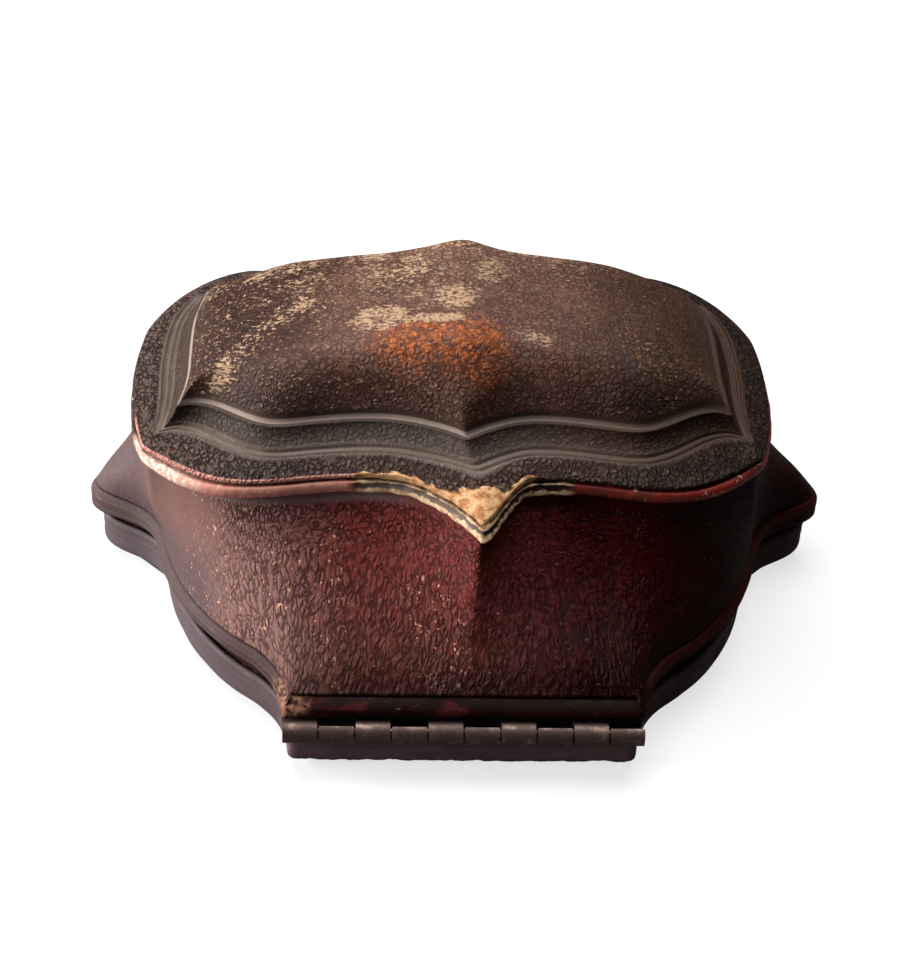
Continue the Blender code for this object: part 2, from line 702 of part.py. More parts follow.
SHELL_DROP = PANEL + SEAT_GAP * 1.7
shell_top = lowered(structure[1:] + cove[1:] + crown, SHELL_DROP)
shell_outer = inner_wall(WALL_LINES, SHELL_SKIN)
SHELL_FOOT = [e + SEAT_GAP for e in EDGES]
SHELL_CLEARANCE = SEAT_GAP * 1.2
shell_foot_out = inset(RIM, BAND_COVER + SHELL_CLEARANCE, HINGE_TOP_INSET + HINGE_COVER + SHELL_CLEARANCE)
CAVITY_LINES = [flared(CAVITY_TOP_LINE, CAVITY_FOOT_LINE, level) for level in LEVELS]
cavity = [ring(CAVITY_LINES[k], wall_height(k) - CAVITY_DROP) for k in LEVELS]
CEILING_FOOT = wall_height(0) - CAVITY_DROP
CEILING_RISE = FILLET_HEIGHT + CROWN_RISE * CEILING_SHARE - CEILING_FOOT
ceiling = [
    ring(FILLET, CEILING_FOOT + CEILING_RISE * 0.2),
    ring(SHOULDER, CEILING_FOOT + CEILING_RISE * 0.75),
]
lid_shell = capped(
    "lid_shell",
    shell_top[::-1] + shell_outer + [ring(shell_foot_out, SHELL_FOOT), ring(CAVITY_FOOT_LINE, SHELL_FOOT)]
    + cavity[::-1] + ceiling,
    WOOD,
    ends=(CROWN_TOP - SHELL_DROP, CEILING_FOOT + CEILING_RISE),
    **LID,
)

# Satin: gathered side lining and the puffed cushion under the top
LINING_DROP = CAVITY_DROP + SEAT_GAP
LINING_FACE = SEAT_GAP + LINING
lining_heights = [wall_height(k) - LINING_DROP for k in LEVELS]
face_heights = [h - LINING / 2 for h in lining_heights[:-1]] + lining_heights[-1:]
lining_outer = [ring(inset(CAVITY_LINES[k], SEAT_GAP), lining_heights[k]) for k in LEVELS]
lining_inner = [ring(inset(CAVITY_LINES[k], LINING_FACE), face_heights[k]) for k in LEVELS]
hoop("lid_side_lining", lining_outer[::-1] + lining_inner, SATIN, **LID)
PUFF_EDGE = between(FILLET, SHOULDER, 0.1)
capped(
    "lid_puff",
    [
        ring([p * 0.5 for p in SHOULDER], CEILING_FOOT - PUFF_DROP),
        ring(SHOULDER, CEILING_FOOT - PUFF_DROP * 0.85),
        ring(between(FILLET, SHOULDER, 0.4), CEILING_FOOT - PUFF_DROP * 0.4),
        ring(PUFF_EDGE, CEILING_FOOT + SEAT_GAP),
        ring(PUFF_EDGE, CEILING_FOOT + CEILING_RISE * 0.2),
        ring(between(FILLET, SHOULDER, 0.5), CEILING_FOOT + CEILING_RISE * 0.42),
        ring(SHOULDER, CEILING_FOOT + CEILING_RISE * 0.75 - SEAT_GAP * 1.5),
    ],
    SATIN,
    ends=(CEILING_FOOT - PUFF_DROP, CEILING_FOOT + CEILING_RISE - SEAT_GAP * 1.5),
    **LID,
)

# Hinge: two leaves of rolled strip on one long pin
PITCH = 2 * HINGE_HALF_LENGTH / KNUCKLES
LEAF_FRONT = HINGE_AXIS.y + (BARREL_RADIUS + SEAT_GAP * 1.2)
LEAF_BACK = LEAF_FRONT + LEAF_LENGTH
ROLL_STEPS = 9
ROLL_INNER = BARREL_RADIUS - ROLL_THICKNESS
ROLL_TURN = math.radians(315)


def roll_path(centre, outer, inner, start, turn, steps):
    """Pairs of outer and inner points round a rolled eye, as offsets in its own plane."""
    pairs = []
    for step in range(steps + 1):
        angle = start + turn * step / steps
        way = Vector((math.cos(angle), math.sin(angle)))
        pairs.append((centre + outer * way, centre + inner * way))
    return pairs


def leaf(name, first, low, side, **placing):
    """A hinge leaf: a strip with every other knuckle rolled up from its edge."""
    high = low + LEAF_THICKNESS
    axis = Vector((HINGE_AXIS.y, HINGE_AXIS.z))
    outer_face, inner_face = (low, high) if side < 0 else (high, low)
    start = math.asin((outer_face - axis.y) / BARREL_RADIUS)
    path = [(Vector((LEAF_FRONT, outer_face)), Vector((LEAF_FRONT, inner_face)))]
    path += roll_path(axis, BARREL_RADIUS, ROLL_INNER, start, side * ROLL_TURN, ROLL_STEPS)
    cuts = [-HINGE_HALF_LENGTH]
    fingers = []
    for k in range(first, KNUCKLES, 2):
        left = -HINGE_HALF_LENGTH + PITCH * k + SEAT_GAP / 2
        fingers.append((left, left + PITCH - SEAT_GAP))
        cuts += fingers[-1]
    cuts = sorted(set(cuts + [HINGE_HALF_LENGTH]))
    points = []
    faces = []

    def face(*corners):
        faces.append(tuple(range(len(points), len(points) + len(corners))))
        points.extend(Vector(c) for c in corners)

    for a, b in zip(cuts, cuts[1:]):
        face((a, LEAF_FRONT, low), (b, LEAF_FRONT, low), (b, LEAF_BACK, low), (a, LEAF_BACK, low))
        face((a, LEAF_FRONT, high), (b, LEAF_FRONT, high), (b, LEAF_BACK, high), (a, LEAF_BACK, high))
        face((a, LEAF_BACK, low), (b, LEAF_BACK, low), (b, LEAF_BACK, high), (a, LEAF_BACK, high))
        if not any(abs(a - left) < SEAT_GAP / 10 for left, right in fingers):
            face((a, LEAF_FRONT, low), (b, LEAF_FRONT, low), (b, LEAF_FRONT, high), (a, LEAF_FRONT, high))
            continue
        for (out_1, in_1), (out_2, in_2) in zip(path, path[1:]):
            for p, q in ((out_1, out_2), (in_1, in_2)):
                face((a, p.x, p.y), (b, p.x, p.y), (b, q.x, q.y), (a, q.x, q.y))
            for x in (a, b):
                face((x, out_1.x, out_1.y), (x, out_2.x, out_2.y), (x, in_2.x, in_2.y), (x, in_1.x, in_1.y))
        out_2, in_2 = path[-1]
        face((a, out_2.x, out_2.y), (b, out_2.x, out_2.y), (b, in_2.x, in_2.y), (a, in_2.x, in_2.y))
    for x in (cuts[0], cuts[-1]):
        face((x, LEAF_FRONT, low), (x, LEAF_BACK, low), (x, LEAF_BACK, high), (x, LEAF_FRONT, high))
    return solid(name, points, faces, BRASS, **placing)


BASE_LEAF_LOW = BASE_HEIGHT + SEAT_GAP
LID_LEAF_LOW = HINGE_EDGE - SEAT_GAP - LEAF_THICKNESS
base_leaf = leaf("hinge_base_leaf", 1, BASE_LEAF_LOW, -1)
lid_leaf = leaf("hinge_lid_leaf", 0, LID_LEAF_LOW, 1, **LID)
PIN_END = HINGE_HALF_LENGTH - SEAT_GAP
turned(
    "hinge_pin",
    [(PIN_RADIUS, -PIN_END), (PIN_RADIUS, PIN_END)],
    HINGE_AXIS,
    X_WAY,
    12,
    BRASS,
)

# Nails of the leaves: each stands in a hole through its leaf and a bore in the wood
NAIL_SIDES = 8
NAIL_SPACING_SHARE = 0.62
NAIL_Y = LEAF_FRONT + LEAF_LENGTH * NAIL_SPACING_SHARE
NAIL_HOLE = NAIL_RADIUS + SEAT_GAP
nail_xs = [HINGE_HALF_LENGTH * NAIL_SPACING_SHARE * k for k in (-1, 0, 1)]


def rod(name, centre, low, high, radius, finish, **placing):
    return turned(name, [(radius, low), (radius, high)], centre, Z_WAY, NAIL_SIDES, finish, **placing)


def rods(name, centres, low, high, radius):
    """One helper solid of several upright rods."""
    points = []
    faces = []
    for centre in centres:
        rings = [circle(centre + Z_WAY * z, radius, NAIL_SIDES, X_WAY, Y_WAY) for z in (low, high)]
        more, skins = joined_rings(rings, False)
        skins += [tuple(range(NAIL_SIDES)), tuple(range(NAIL_SIDES, 2 * NAIL_SIDES))]
        faces += [tuple(i + len(points) for i in skin) for skin in skins]
        points += more
    return solid(name, points, faces, WOOD)


nail_centres = [Vector((x, NAIL_Y, 0)) for x in nail_xs]
base_nail_top = BASE_LEAF_LOW + LEAF_THICKNESS
base_nail_foot = BASE_LEAF_LOW - NAIL_DEPTH
lid_nail_foot = LID_LEAF_LOW
lid_nail_top = LID_LEAF_LOW + LEAF_THICKNESS + NAIL_DEPTH
for number, centre in enumerate(nail_centres, 1):
    rod(f"hinge_base_nail_{number}", centre, base_nail_foot, base_nail_top, NAIL_RADIUS, BRASS)
    rod(f"hinge_lid_nail_{number}", centre, lid_nail_foot, lid_nail_top, NAIL_RADIUS, BRASS, **LID)
base_bores = rods("cutter_base_bores", nail_centres, base_nail_foot - SEAT_GAP, HINGE_AXIS.z, NAIL_HOLE)
lid_bores = rods("cutter_lid_bores", nail_centres, HINGE_AXIS.z, lid_nail_top + SEAT_GAP, NAIL_HOLE)
shape(base_leaf, base_bores, "DIFFERENCE")
shape(base_board, base_bores, "DIFFERENCE")
shape(lid_leaf, lid_bores, "DIFFERENCE")
shape(lid_shell, lid_bores, "DIFFERENCE")

# Clasp: housing in the tray's front wall, bezel, button, rocking catch and its axle
HOUSING_BACK = CASE_HALF_DEPTH * INNER_DEPTH_SHARE + SEAT_GAP
HOUSING_FRONT = CASE_HALF_DEPTH - SIDE_COVER - SEAT_GAP
HOUSING_LOW = TRAY_UNDERSIDE + SEAT_GAP * 4
HOUSING_TOP = BASE_HEIGHT + SEAT_GAP / 2
CATCH_LOW = HOUSING_LOW + HOUSING_WALL + SEAT_GAP
BUTTON_HEIGHT = (HOUSING_TOP + LEATHER_UNDERSIDE) / 2 + SEAT_GAP
button_centre = Vector((0, CASE_HALF_DEPTH, BUTTON_HEIGHT))
housing = box(
    "clasp_housing",
    (-HOUSING_HALF_LENGTH, HOUSING_BACK, HOUSING_LOW),
    (HOUSING_HALF_LENGTH, HOUSING_FRONT, HOUSING_TOP),
    BRASS,
)
CAVITY_BACK = HOUSING_BACK + HOUSING_WALL
housing_hollow = box(
    "cutter_housing_hollow",
    (-HOUSING_HALF_LENGTH + HOUSING_WALL, CAVITY_BACK, HOUSING_LOW + HOUSING_WALL),
    (HOUSING_HALF_LENGTH - HOUSING_WALL, HOUSING_FRONT - HOUSING_WALL, HOUSING_TOP + HOUSING_WALL),
    BRASS,
)
shape(housing, housing_hollow, "DIFFERENCE")
board_notch = box(
    "cutter_board_notch",
    (-HOUSING_HALF_LENGTH - SEAT_GAP, HOUSING_BACK - TONGUE_THICKNESS, HOUSING_LOW - SEAT_GAP),
    (HOUSING_HALF_LENGTH + SEAT_GAP, CASE_HALF_DEPTH, HOUSING_TOP + SEAT_GAP),
    WOOD,
)
shape(base_board, board_notch, "DIFFERENCE")
BUTTON_SIDES = 16
HEAD_HOLE = BUTTON_RADIUS + SEAT_GAP
head_hole = turned(
    "cutter_button_hole",
    [(HEAD_HOLE, -LEATHER * 1.3), (HEAD_HOLE, LEATHER)],
    button_centre,
    Y_WAY,
    BUTTON_SIDES,
    DARK_LEATHER,
)
shape(base_leather, head_hole, "DIFFERENCE")
stem_hole = turned(
    "cutter_stem_hole",
    [(STEM_RADIUS + SEAT_GAP, -LEATHER * 3), (STEM_RADIUS + SEAT_GAP, 0)],
    button_centre,
    Y_WAY,
    BUTTON_SIDES,
    BRASS,
)
shape(housing, stem_hole, "DIFFERENCE")
turned(
    "clasp_bezel",
    [
        (HEAD_HOLE, SEAT_GAP),
        (HEAD_HOLE + BEZEL_WIDTH, SEAT_GAP),
        (HEAD_HOLE + BEZEL_WIDTH, SEAT_GAP + BEZEL_THICKNESS / 2),
        (HEAD_HOLE + BEZEL_WIDTH / 2, SEAT_GAP + BEZEL_THICKNESS),
        (HEAD_HOLE, SEAT_GAP + BEZEL_THICKNESS),
    ],
    button_centre,
    Y_WAY,
    BUTTON_SIDES,
    BRASS,
    tube=True,
)

CATCH_AXIS = Vector((-CATCH_ARM, CAVITY_BACK + SEAT_GAP + CATCH_EYE_RADIUS, CATCH_LOW))
CATCH_FRONT = CATCH_AXIS.y + CATCH_EYE_RADIUS
CATCH_TURN = BUTTON_TRAVEL / CATCH_ARM
turned(
    "push_button",
    [
        (STEM_RADIUS, CATCH_FRONT + SEAT_GAP - CASE_HALF_DEPTH),
        (STEM_RADIUS, 0),
        (BUTTON_RADIUS, 0),
        (BUTTON_RADIUS, BUTTON_PROUD * 0.8),
        (BUTTON_RADIUS * 0.75, BUTTON_PROUD),
    ],
    button_centre,
    Y_WAY,
    BUTTON_SIDES,
    BRASS,
    origin=button_centre,
)
HOOK_FOOT = HINGE_EDGE + SEAT_GAP
HOOK_TOP = HOOK_FOOT + HOOK_REACH * 2
CATCH_TIP = HOOK_HALF_WIDTH * 1.2
CATCH_EYE_INNER = CATCH_EYE_RADIUS - CATCH_THICKNESS / 1.6
EYE_TURN = math.radians(300)
catch_path = [(Vector((CATCH_TIP, CATCH_FRONT)), Vector((CATCH_TIP, CATCH_FRONT - CATCH_THICKNESS)))]
catch_path += roll_path(CATCH_AXIS.xy, CATCH_EYE_RADIUS, CATCH_EYE_INNER, math.pi / 2, EYE_TURN, ROLL_STEPS)


def strip(name, path, low, high, finish, **placing):
    """An upright strip that follows pairs of outer and inner points in plan."""
    rings = []
    for outer, inner in path:
        corners = ((outer, low), (outer, high), (inner, high), (inner, low))
        rings.append([Vector((p.x, p.y, z)) for p, z in corners])
    points, faces = joined_rings(rings, False)
    last = len(points) - 4
    faces += [(0, 1, 2, 3), (last, last + 1, last + 2, last + 3)]
    return solid(name, points, faces, finish, **placing)


catch = strip("catch_lever", catch_path, CATCH_LOW, CATCH_LOW + CATCH_HEIGHT, STEEL, origin=CATCH_AXIS)
HOOK_PROUD = SEAT_GAP / 6
hook_profile = [
    (CATCH_FRONT - CATCH_THICKNESS - HOOK_PROUD, CATCH_LOW + CATCH_HEIGHT / 6),
    (CATCH_FRONT + HOOK_PROUD, CATCH_LOW + CATCH_HEIGHT / 6),
    (CATCH_FRONT + HOOK_PROUD, HOOK_FOOT),
    (CATCH_FRONT + HOOK_REACH, HOOK_FOOT),
    (CATCH_FRONT + HOOK_PROUD, HOOK_TOP),
    (CATCH_FRONT - CATCH_THICKNESS - HOOK_PROUD, HOOK_TOP),
]
hook_rings = [[Vector((x, y, z)) for y, z in hook_profile] for x in (-HOOK_HALF_WIDTH, HOOK_HALF_WIDTH)]
hook_points, hook_faces = joined_rings(hook_rings, False)
hook_faces += [tuple(range(6)), tuple(range(6, 12))]
hook = solid("helper_hook", hook_points, hook_faces, STEEL)
shape(catch, hook, "UNION")
rod(
    "catch_axle",
    Vector((CATCH_AXIS.x, CATCH_AXIS.y, 0)),
    HOUSING_LOW + HOUSING_WALL + SEAT_GAP / 2,
    CATCH_LOW + CATCH_HEIGHT,
    CATCH_AXLE_RADIUS,
    STEEL,
)

# Strike on the lid: a plate with a slot for the hook, in front of a pocket in the shell
STRIKE_TOP = HINGE_EDGE
STRIKE_LOW = STRIKE_TOP - LEAF_THICKNESS
PRESSED = (CATCH_ARM + HOOK_HALF_WIDTH) * CATCH_TURN
SLOT_BACK = CATCH_FRONT - CATCH_THICKNESS - PRESSED - SEAT_GAP
SLOT_FRONT = CATCH_FRONT + HOOK_REACH + SEAT_GAP
SLOT_HALF = HOOK_HALF_WIDTH + SEAT_GAP * 2
STRIKE_FRONT = CASE_HALF_DEPTH - BAND_COVER - SEAT_GAP
STRIKE_BACK = HOUSING_BACK + SEAT_GAP / 2
strike = box(
    "lid_strike",
    (-STRIKE_HALF_LENGTH, STRIKE_BACK, STRIKE_LOW),
    (STRIKE_HALF_LENGTH, STRIKE_FRONT, STRIKE_TOP),
    BRASS,
    **LID,
)
slot = box(
    "cutter_strike_slot",
    (-SLOT_HALF, SLOT_BACK, STRIKE_LOW - LEAF_THICKNESS),
    (SLOT_HALF, SLOT_FRONT, STRIKE_TOP + LEAF_THICKNESS),
    BRASS,
)
shape(strike, slot, "DIFFERENCE")
pocket = box(
    "cutter_hook_pocket",
    (-SLOT_HALF, HOUSING_BACK - TONGUE_THICKNESS, HINGE_EDGE - SEAT_GAP),
    (SLOT_HALF, SLOT_FRONT + SEAT_GAP, HOOK_TOP + SEAT_GAP * 2),
    WOOD,
)
shape(lid_shell, pocket, "DIFFERENCE")
STRIKE_NAIL_X = (STRIKE_HALF_LENGTH + SLOT_HALF) / 2
strike_nail_y = (STRIKE_BACK + STRIKE_FRONT) / 2
strike_nail_top = STRIKE_TOP + NAIL_DEPTH
strike_centres = [Vector((side * STRIKE_NAIL_X, strike_nail_y, 0)) for side in (-1, 1)]
for number, centre in enumerate(strike_centres, 1):
    rod(f"strike_nail_{number}", centre, STRIKE_LOW, strike_nail_top, NAIL_RADIUS, BRASS, **LID)
strike_bores = rods(
    "cutter_strike_bores", strike_centres, STRIKE_LOW - SEAT_GAP, strike_nail_top + SEAT_GAP, NAIL_HOLE
)
shape(strike, strike_bores, "DIFFERENCE")
shape(lid_shell, strike_bores, "DIFFERENCE")
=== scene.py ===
import math

import bmesh
import bpy
import numpy as np
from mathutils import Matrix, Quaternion, Vector, noise


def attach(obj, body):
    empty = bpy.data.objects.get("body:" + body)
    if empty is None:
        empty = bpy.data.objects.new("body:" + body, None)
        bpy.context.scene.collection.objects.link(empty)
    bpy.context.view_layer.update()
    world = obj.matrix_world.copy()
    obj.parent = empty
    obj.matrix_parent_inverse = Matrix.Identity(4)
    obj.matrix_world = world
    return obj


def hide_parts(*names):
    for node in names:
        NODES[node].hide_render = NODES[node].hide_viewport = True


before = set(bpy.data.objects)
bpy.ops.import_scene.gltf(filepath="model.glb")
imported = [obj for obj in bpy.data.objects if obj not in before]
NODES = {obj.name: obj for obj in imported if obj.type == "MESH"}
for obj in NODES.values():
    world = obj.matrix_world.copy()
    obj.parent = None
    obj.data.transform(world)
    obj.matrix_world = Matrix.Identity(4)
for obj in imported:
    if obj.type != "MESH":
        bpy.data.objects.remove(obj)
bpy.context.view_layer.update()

MM = 0.001

# Sizes of the case, in millimetres, as in its solids
HALF_WIDTH = 57.4
HALF_DEPTH = 49.5
BASE_TOP = 7.0
LID_EDGE = 7.9
HINGE_EDGE = 8.9
LOBE_BOW = 1.3
CREASE = 12.2
WALL_FOOT = 12.5
WALL_TOP = 31.1
BEAD_FOOT = 31.4
BEAD_TOP = 33.2
PANEL_EDGE = 34.3
FILLET_HEIGHT = 38.5
CROWN_RISE = 7.8
CROWN_DOME = 3.4
DOME_HALF_WIDTH = 30.0
CROWN_RIDGE = 0.6
PLATEAU_SHIFT = -1.5
AXIS = Vector((0, -50.1, 7.95))
BARREL = 1.65
RELIEF = (BARREL + 0.3) * math.sqrt(2)
HINGE_INSET = RELIEF - (AXIS.z - BASE_TOP) - 0.6
HINGE_HALF = HALF_WIDTH * 0.448

# Quarter outlines: steps, then control points and an end point as shares of the half sizes
RIM_ROWS = (
    (4, 0.448, -1.0), (3, 0.453, -0.863, 0.54, -0.774), (4, 0.745, -0.6, 0.8, -0.265),
    (2, 0.816, -0.168, 0.915, -0.111), (2, 1.0, -0.062, 1.0, 0.0),
)
LIP_ROWS = (
    (2, 0.087, -0.566, 0.157, -0.523), (2, 0.244, -0.497, 0.418, -0.537),
    (3, 0.488, -0.552, 0.557, -0.549), (4, 0.672, -0.541, 0.787, -0.39), (2, 0.82, -0.3, 0.829, -0.182),
    (2, 0.836, -0.091, 0.836, 0.0),
)
LIP_FRONT = LIP_ROWS[:3] + (
    (4, 0.63, -0.53, 0.695, -0.47, 0.748, -0.372), (2, 0.8, -0.28, 0.824, -0.185),
    (2, 0.836, -0.09, 0.836, 0.0),
)
TOOLED_ROWS = (
    (2, 0.07, -0.451, 0.157, -0.426), (2, 0.244, -0.41, 0.401, -0.451),
    (3, 0.463, -0.467, 0.505, -0.453), (4, 0.6, -0.43, 0.668, -0.235, 0.757, -0.345),
    (2, 0.738, -0.24, 0.744, -0.14), (2, 0.751, -0.07, 0.751, 0.0),
)
TOOLED_FRONT = TOOLED_ROWS[:3] + (
    (4, 0.58, -0.435, 0.625, -0.35, 0.69, -0.352), (2, 0.722, -0.3, 0.739, -0.215),
    (2, 0.751, -0.105, 0.751, 0.0),
)
FILLET_ROWS = (
    (2, 0.073, -0.361, 0.157, -0.335), (2, 0.244, -0.321, 0.383, -0.361),
    (3, 0.447, -0.381, 0.491, -0.368), (4, 0.56, -0.345, 0.632, -0.22, 0.7, -0.29),
    (2, 0.685, -0.205, 0.687, -0.125), (2, 0.69, -0.061, 0.69, 0.0),
)
FILLET_FRONT = FILLET_ROWS[:3] + (
    (4, 0.555, -0.345, 0.595, -0.28, 0.652, -0.298), (2, 0.677, -0.24, 0.686, -0.15),
    (2, 0.69, -0.07, 0.69, 0.0),
)
SHOULDER_ROWS = (
    (2, 0.073, -0.226, 0.15, -0.214), (2, 0.235, -0.206, 0.325, -0.22), (3, 0.37, -0.22, 0.402, -0.206),
    (4, 0.46, -0.18, 0.498, -0.14, 0.518, -0.104), (2, 0.53, -0.08, 0.536, -0.053),
    (2, 0.54, -0.026, 0.54, 0.0),
)
INNER_ROWS = (
    (4, 0.383, -0.869), (3, 0.422, -0.792, 0.488, -0.715), (4, 0.65, -0.541, 0.714, -0.253),
    (2, 0.742, -0.174, 0.775, -0.101), (2, 0.793, -0.053, 0.793, 0.0),
)
FINE = 12
LEVEL_KNOTS = (0.0, 0.28, 0.50, 0.68, 0.85, 1.0)
LONG_KNOTS = (0.0, 0.19, 0.40, 0.63, 0.87, 1.0)
SOFT_KNOTS = (6.0, 6.0, 4.0, 2.0, 1.0, 0.0)
EAR_KNOTS = (0.0, 0.06, 0.20, 0.46, 0.78, 1.0)


def curve_point(points, share):
    while len(points) > 1:
        points = [a + (b - a) * share for a, b in zip(points, points[1:])]
    return points[0]


def quarter_line(start, rows, width, straight=False):
    """One quarter of an outline in millimetres, from a long side's middle to an ear."""
    scale = np.array((width, HALF_DEPTH))
    at = np.array((0, start)) * scale
    quarter = [at]
    for steps, *places in rows:
        points = [at, *np.reshape(places, (-1, 2)) * scale]
        count = steps * FINE
        for k in range(1, count + 1):
            before, share = divmod(k, FINE)
            first, second = (curve_point(points, min(n, steps) / steps) for n in (before, before + 1))
            chord = first + (second - first) * share / FINE
            quarter.append(chord if straight else curve_point(points, k / count))
        at = points[-1]
    return np.array(quarter)


def smoothed(values, times):
    """A closed row of values, each drawn towards its neighbours."""
    for _ in range(times):
        values = (np.roll(values, 1, 0) + 2 * values + np.roll(values, -1, 0)) / 4
    return values


def bell(value):
    return np.exp(-(value**2))


def outline(start, rows, front_rows=None, width=HALF_WIDTH, soften=3, straight=False):
    """Closed outline in millimetres, anticlockwise from the middle of the hinge side."""
    back = quarter_line(start, rows, width, straight)
    front = quarter_line(start, front_rows or rows, width, straight)
    whole = np.concatenate((back[:-1], front[:0:-1] * (1, -1), -front[:-1], back[:0:-1] * (-1, 1)))
    whole = smoothed(whole, soften)
    if straight:
        steps = np.arange(len(whole)) % (len(whole) // 2)
        steps = np.minimum(steps, len(whole) // 2 - steps) / FINE
        soft = smoothed(whole, 60)
        whole = soft + (whole - soft) * (bell((steps - 11) / 0.7) + bell(steps / 0.8))[:, None]
    return whole


def smoothstep(value):
    value = np.clip(value, 0, 1)
    return value * value * (3 - 2 * value)


def skewed(points, lean):
    """The plateau stands off centre, with the middle of each long side leaning."""
    x, y = points[:, 0], points[:, 1]
    reach = np.where(y < 0, lean, 1.1)
    return np.column_stack((x + PLATEAU_SHIFT + reach * bell(x / 9), y))


RIM = outline(-1.0, RIM_ROWS, soften=6)
BASE = outline(-1.0, RIM_ROWS, width=HALF_WIDTH * 0.972, soften=6)
LIP = skewed(outline(-0.747, LIP_ROWS, LIP_FRONT), 3.8)
TOOLED = skewed(outline(-0.505, TOOLED_ROWS, TOOLED_FRONT, straight=True), 3.2)
FILLET = skewed(outline(-0.424, FILLET_ROWS, FILLET_FRONT, straight=True), 1.3)
SHOULDER = skewed(outline(-0.259, SHOULDER_ROWS, soften=30), 0.6)
INNER = outline(-0.869, INNER_ROWS)
COUNT = len(RIM)
QUARTER = COUNT // 4
INDEX = np.arange(COUNT)
TURN = INDEX % (2 * QUARTER)
STEPS = np.minimum(TURN, 2 * QUARTER - TURN) / FINE
NEAR = (INDEX < QUARTER) | (INDEX > 3 * QUARTER)
EAR = smoothstep((STEPS - 7) / 8)
ON_HINGE = smoothed((NEAR & (STEPS <= 4)).astype(float), 2)
ALONG = np.clip((STEPS - 4) / 11, 0, 1)
EDGES = LID_EDGE + (HINGE_EDGE - LID_EDGE) * (1 - ALONG) + LOBE_BOW * np.sin(np.pi * ALONG)


def hermite(t, start, start_pull, end, end_pull):
    """Cubic between two ends with a pull at each."""
    ahead = 3 * t**2 - 2 * t**3
    return (1 - ahead) * start + (t**3 - 2 * t**2 + t) * start_pull + ahead * end + (t**3 - t**2) * end_pull


def monotone(xs, ys, at):
    """Smooth curve through knots that never overshoots them."""
    xs, ys, at = (np.asarray(v, float) for v in (xs, ys, at))
    width = np.diff(xs)
    slope = np.diff(ys) / width
    tangent = np.concatenate(([slope[0]], (slope[1:] + slope[:-1]) / 2, [slope[-1]]))
    tangent[1:-1][slope[1:] * slope[:-1] <= 0] = 0
    for k, s in enumerate(slope):
        reach = math.hypot(tangent[k], tangent[k + 1])
        if s == 0:
            tangent[k] = tangent[k + 1] = 0
        elif reach > 3 * abs(s):
            tangent[k] *= 3 * abs(s) / reach
            tangent[k + 1] *= 3 * abs(s) / reach
    k = np.clip(np.searchsorted(xs, at) - 1, 0, len(width) - 1)
    pull, next_pull = width[k] * tangent[k], width[k] * tangent[k + 1]
    return hermite((at - xs[k]) / width[k], ys[k], pull, ys[k + 1], next_pull)


def rounded(points, rounds, kept=EAR):
    """An outline rounded off, but for the share of each point that is kept."""
    blur = np.exp(-math.pi**2 * np.fft.fftfreq(COUNT) ** 2 * rounds * FINE**2)[:, None]
    soft = np.fft.ifft(np.fft.fft(points, axis=0) * blur, axis=0).real
    return soft + (points - soft) * np.reshape(kept, (-1, 1))


def normals_of(points):
    """Unit normals pointing inwards."""
    along = np.roll(points, -1, 0) - np.roll(points, 1, 0)
    along /= np.linalg.norm(along, axis=1, keepdims=True)
    return np.stack((-along[:, 1], along[:, 0]), 1)


def inset(points, distance, at_hinge=None):
    here = np.full(COUNT, float(distance)) if np.isscalar(distance) else distance
    if at_hinge is not None:
        here = here + (at_hinge - here) * ON_HINGE
    return points + normals_of(points) * here[:, None]


def between(first, second, share):
    share = np.asarray(share, float)
    if share.ndim:
        share = share[:, None]
    return first + (second - first) * share


def ring(points, height, at_hinge=None):
    heights = np.full(COUNT, float(height)) if np.isscalar(height) else np.array(height)
    if at_hinge is not None:
        heights = heights + (at_hinge - heights) * ON_HINGE
    return np.column_stack((points, heights))


def through(knots, per_span):
    """More rings between knot rings, on smooth curves."""
    rings = []
    for k in range(len(knots) - 1):
        a, b = knots[k], knots[k + 1]
        before = knots[k - 1] if k else a
        after = knots[k + 2] if k + 2 < len(knots) else b
        for step in range(per_span):
            rings.append(hermite(step / per_span, a, (b - before) * 0.4, b, (after - a) * 0.4))
    return rings + [knots[-1]]


def wobble(points, size, seed, detail=2):
    """Smooth noise from -1 to 1 at each point; size is the feature size in millimetres."""
    shift = Vector((seed, seed * 1.7, -seed))
    return np.array([noise.fractal(Vector(p) / size + shift, 1.0, 2.0, detail) for p in points])


def bend_out(rings, amount):
    """Move each point of a stack of rings along the surface normal by amount (millimetres)."""
    grid = np.array(rings)
    round_way = np.roll(grid, -1, 1) - np.roll(grid, 1, 1)
    down_way = np.gradient(grid, axis=0)
    normal = np.cross(round_way, down_way)
    normal /= np.maximum(np.linalg.norm(normal, axis=2, keepdims=True), 1e-9)
    return list(grid + normal * np.array(amount)[:, :, None])


def add_object(name, data):
    made = bpy.data.objects.new(name, data)
    bpy.context.scene.collection.objects.link(made)
    return made


def make(name, points, faces, material, body, merge=True, zones=None):
    mesh = bpy.data.meshes.new(name)
    mesh.from_pydata((np.asarray(points) * MM).tolist(), [], [tuple(int(i) for i in f) for f in faces])
    shape = bmesh.new()
    shape.from_mesh(mesh)
    if merge:
        bmesh.ops.remove_doubles(shape, verts=shape.verts, dist=1e-7)
    bmesh.ops.recalc_face_normals(shape, faces=shape.faces)
    shape.to_mesh(mesh)
    shape.free()
    mesh.shade_smooth()
    if zones is not None:
        layer = mesh.color_attributes.new(name="zones", type="FLOAT_COLOR", domain="POINT")
        values = np.ones((len(mesh.vertices), 4))
        values[: len(zones), :3] = zones
        layer.data.foreach_set("color", values.ravel())
    mesh.materials.append(material)
    made = add_object(name, mesh)
    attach(made, body)
    return made


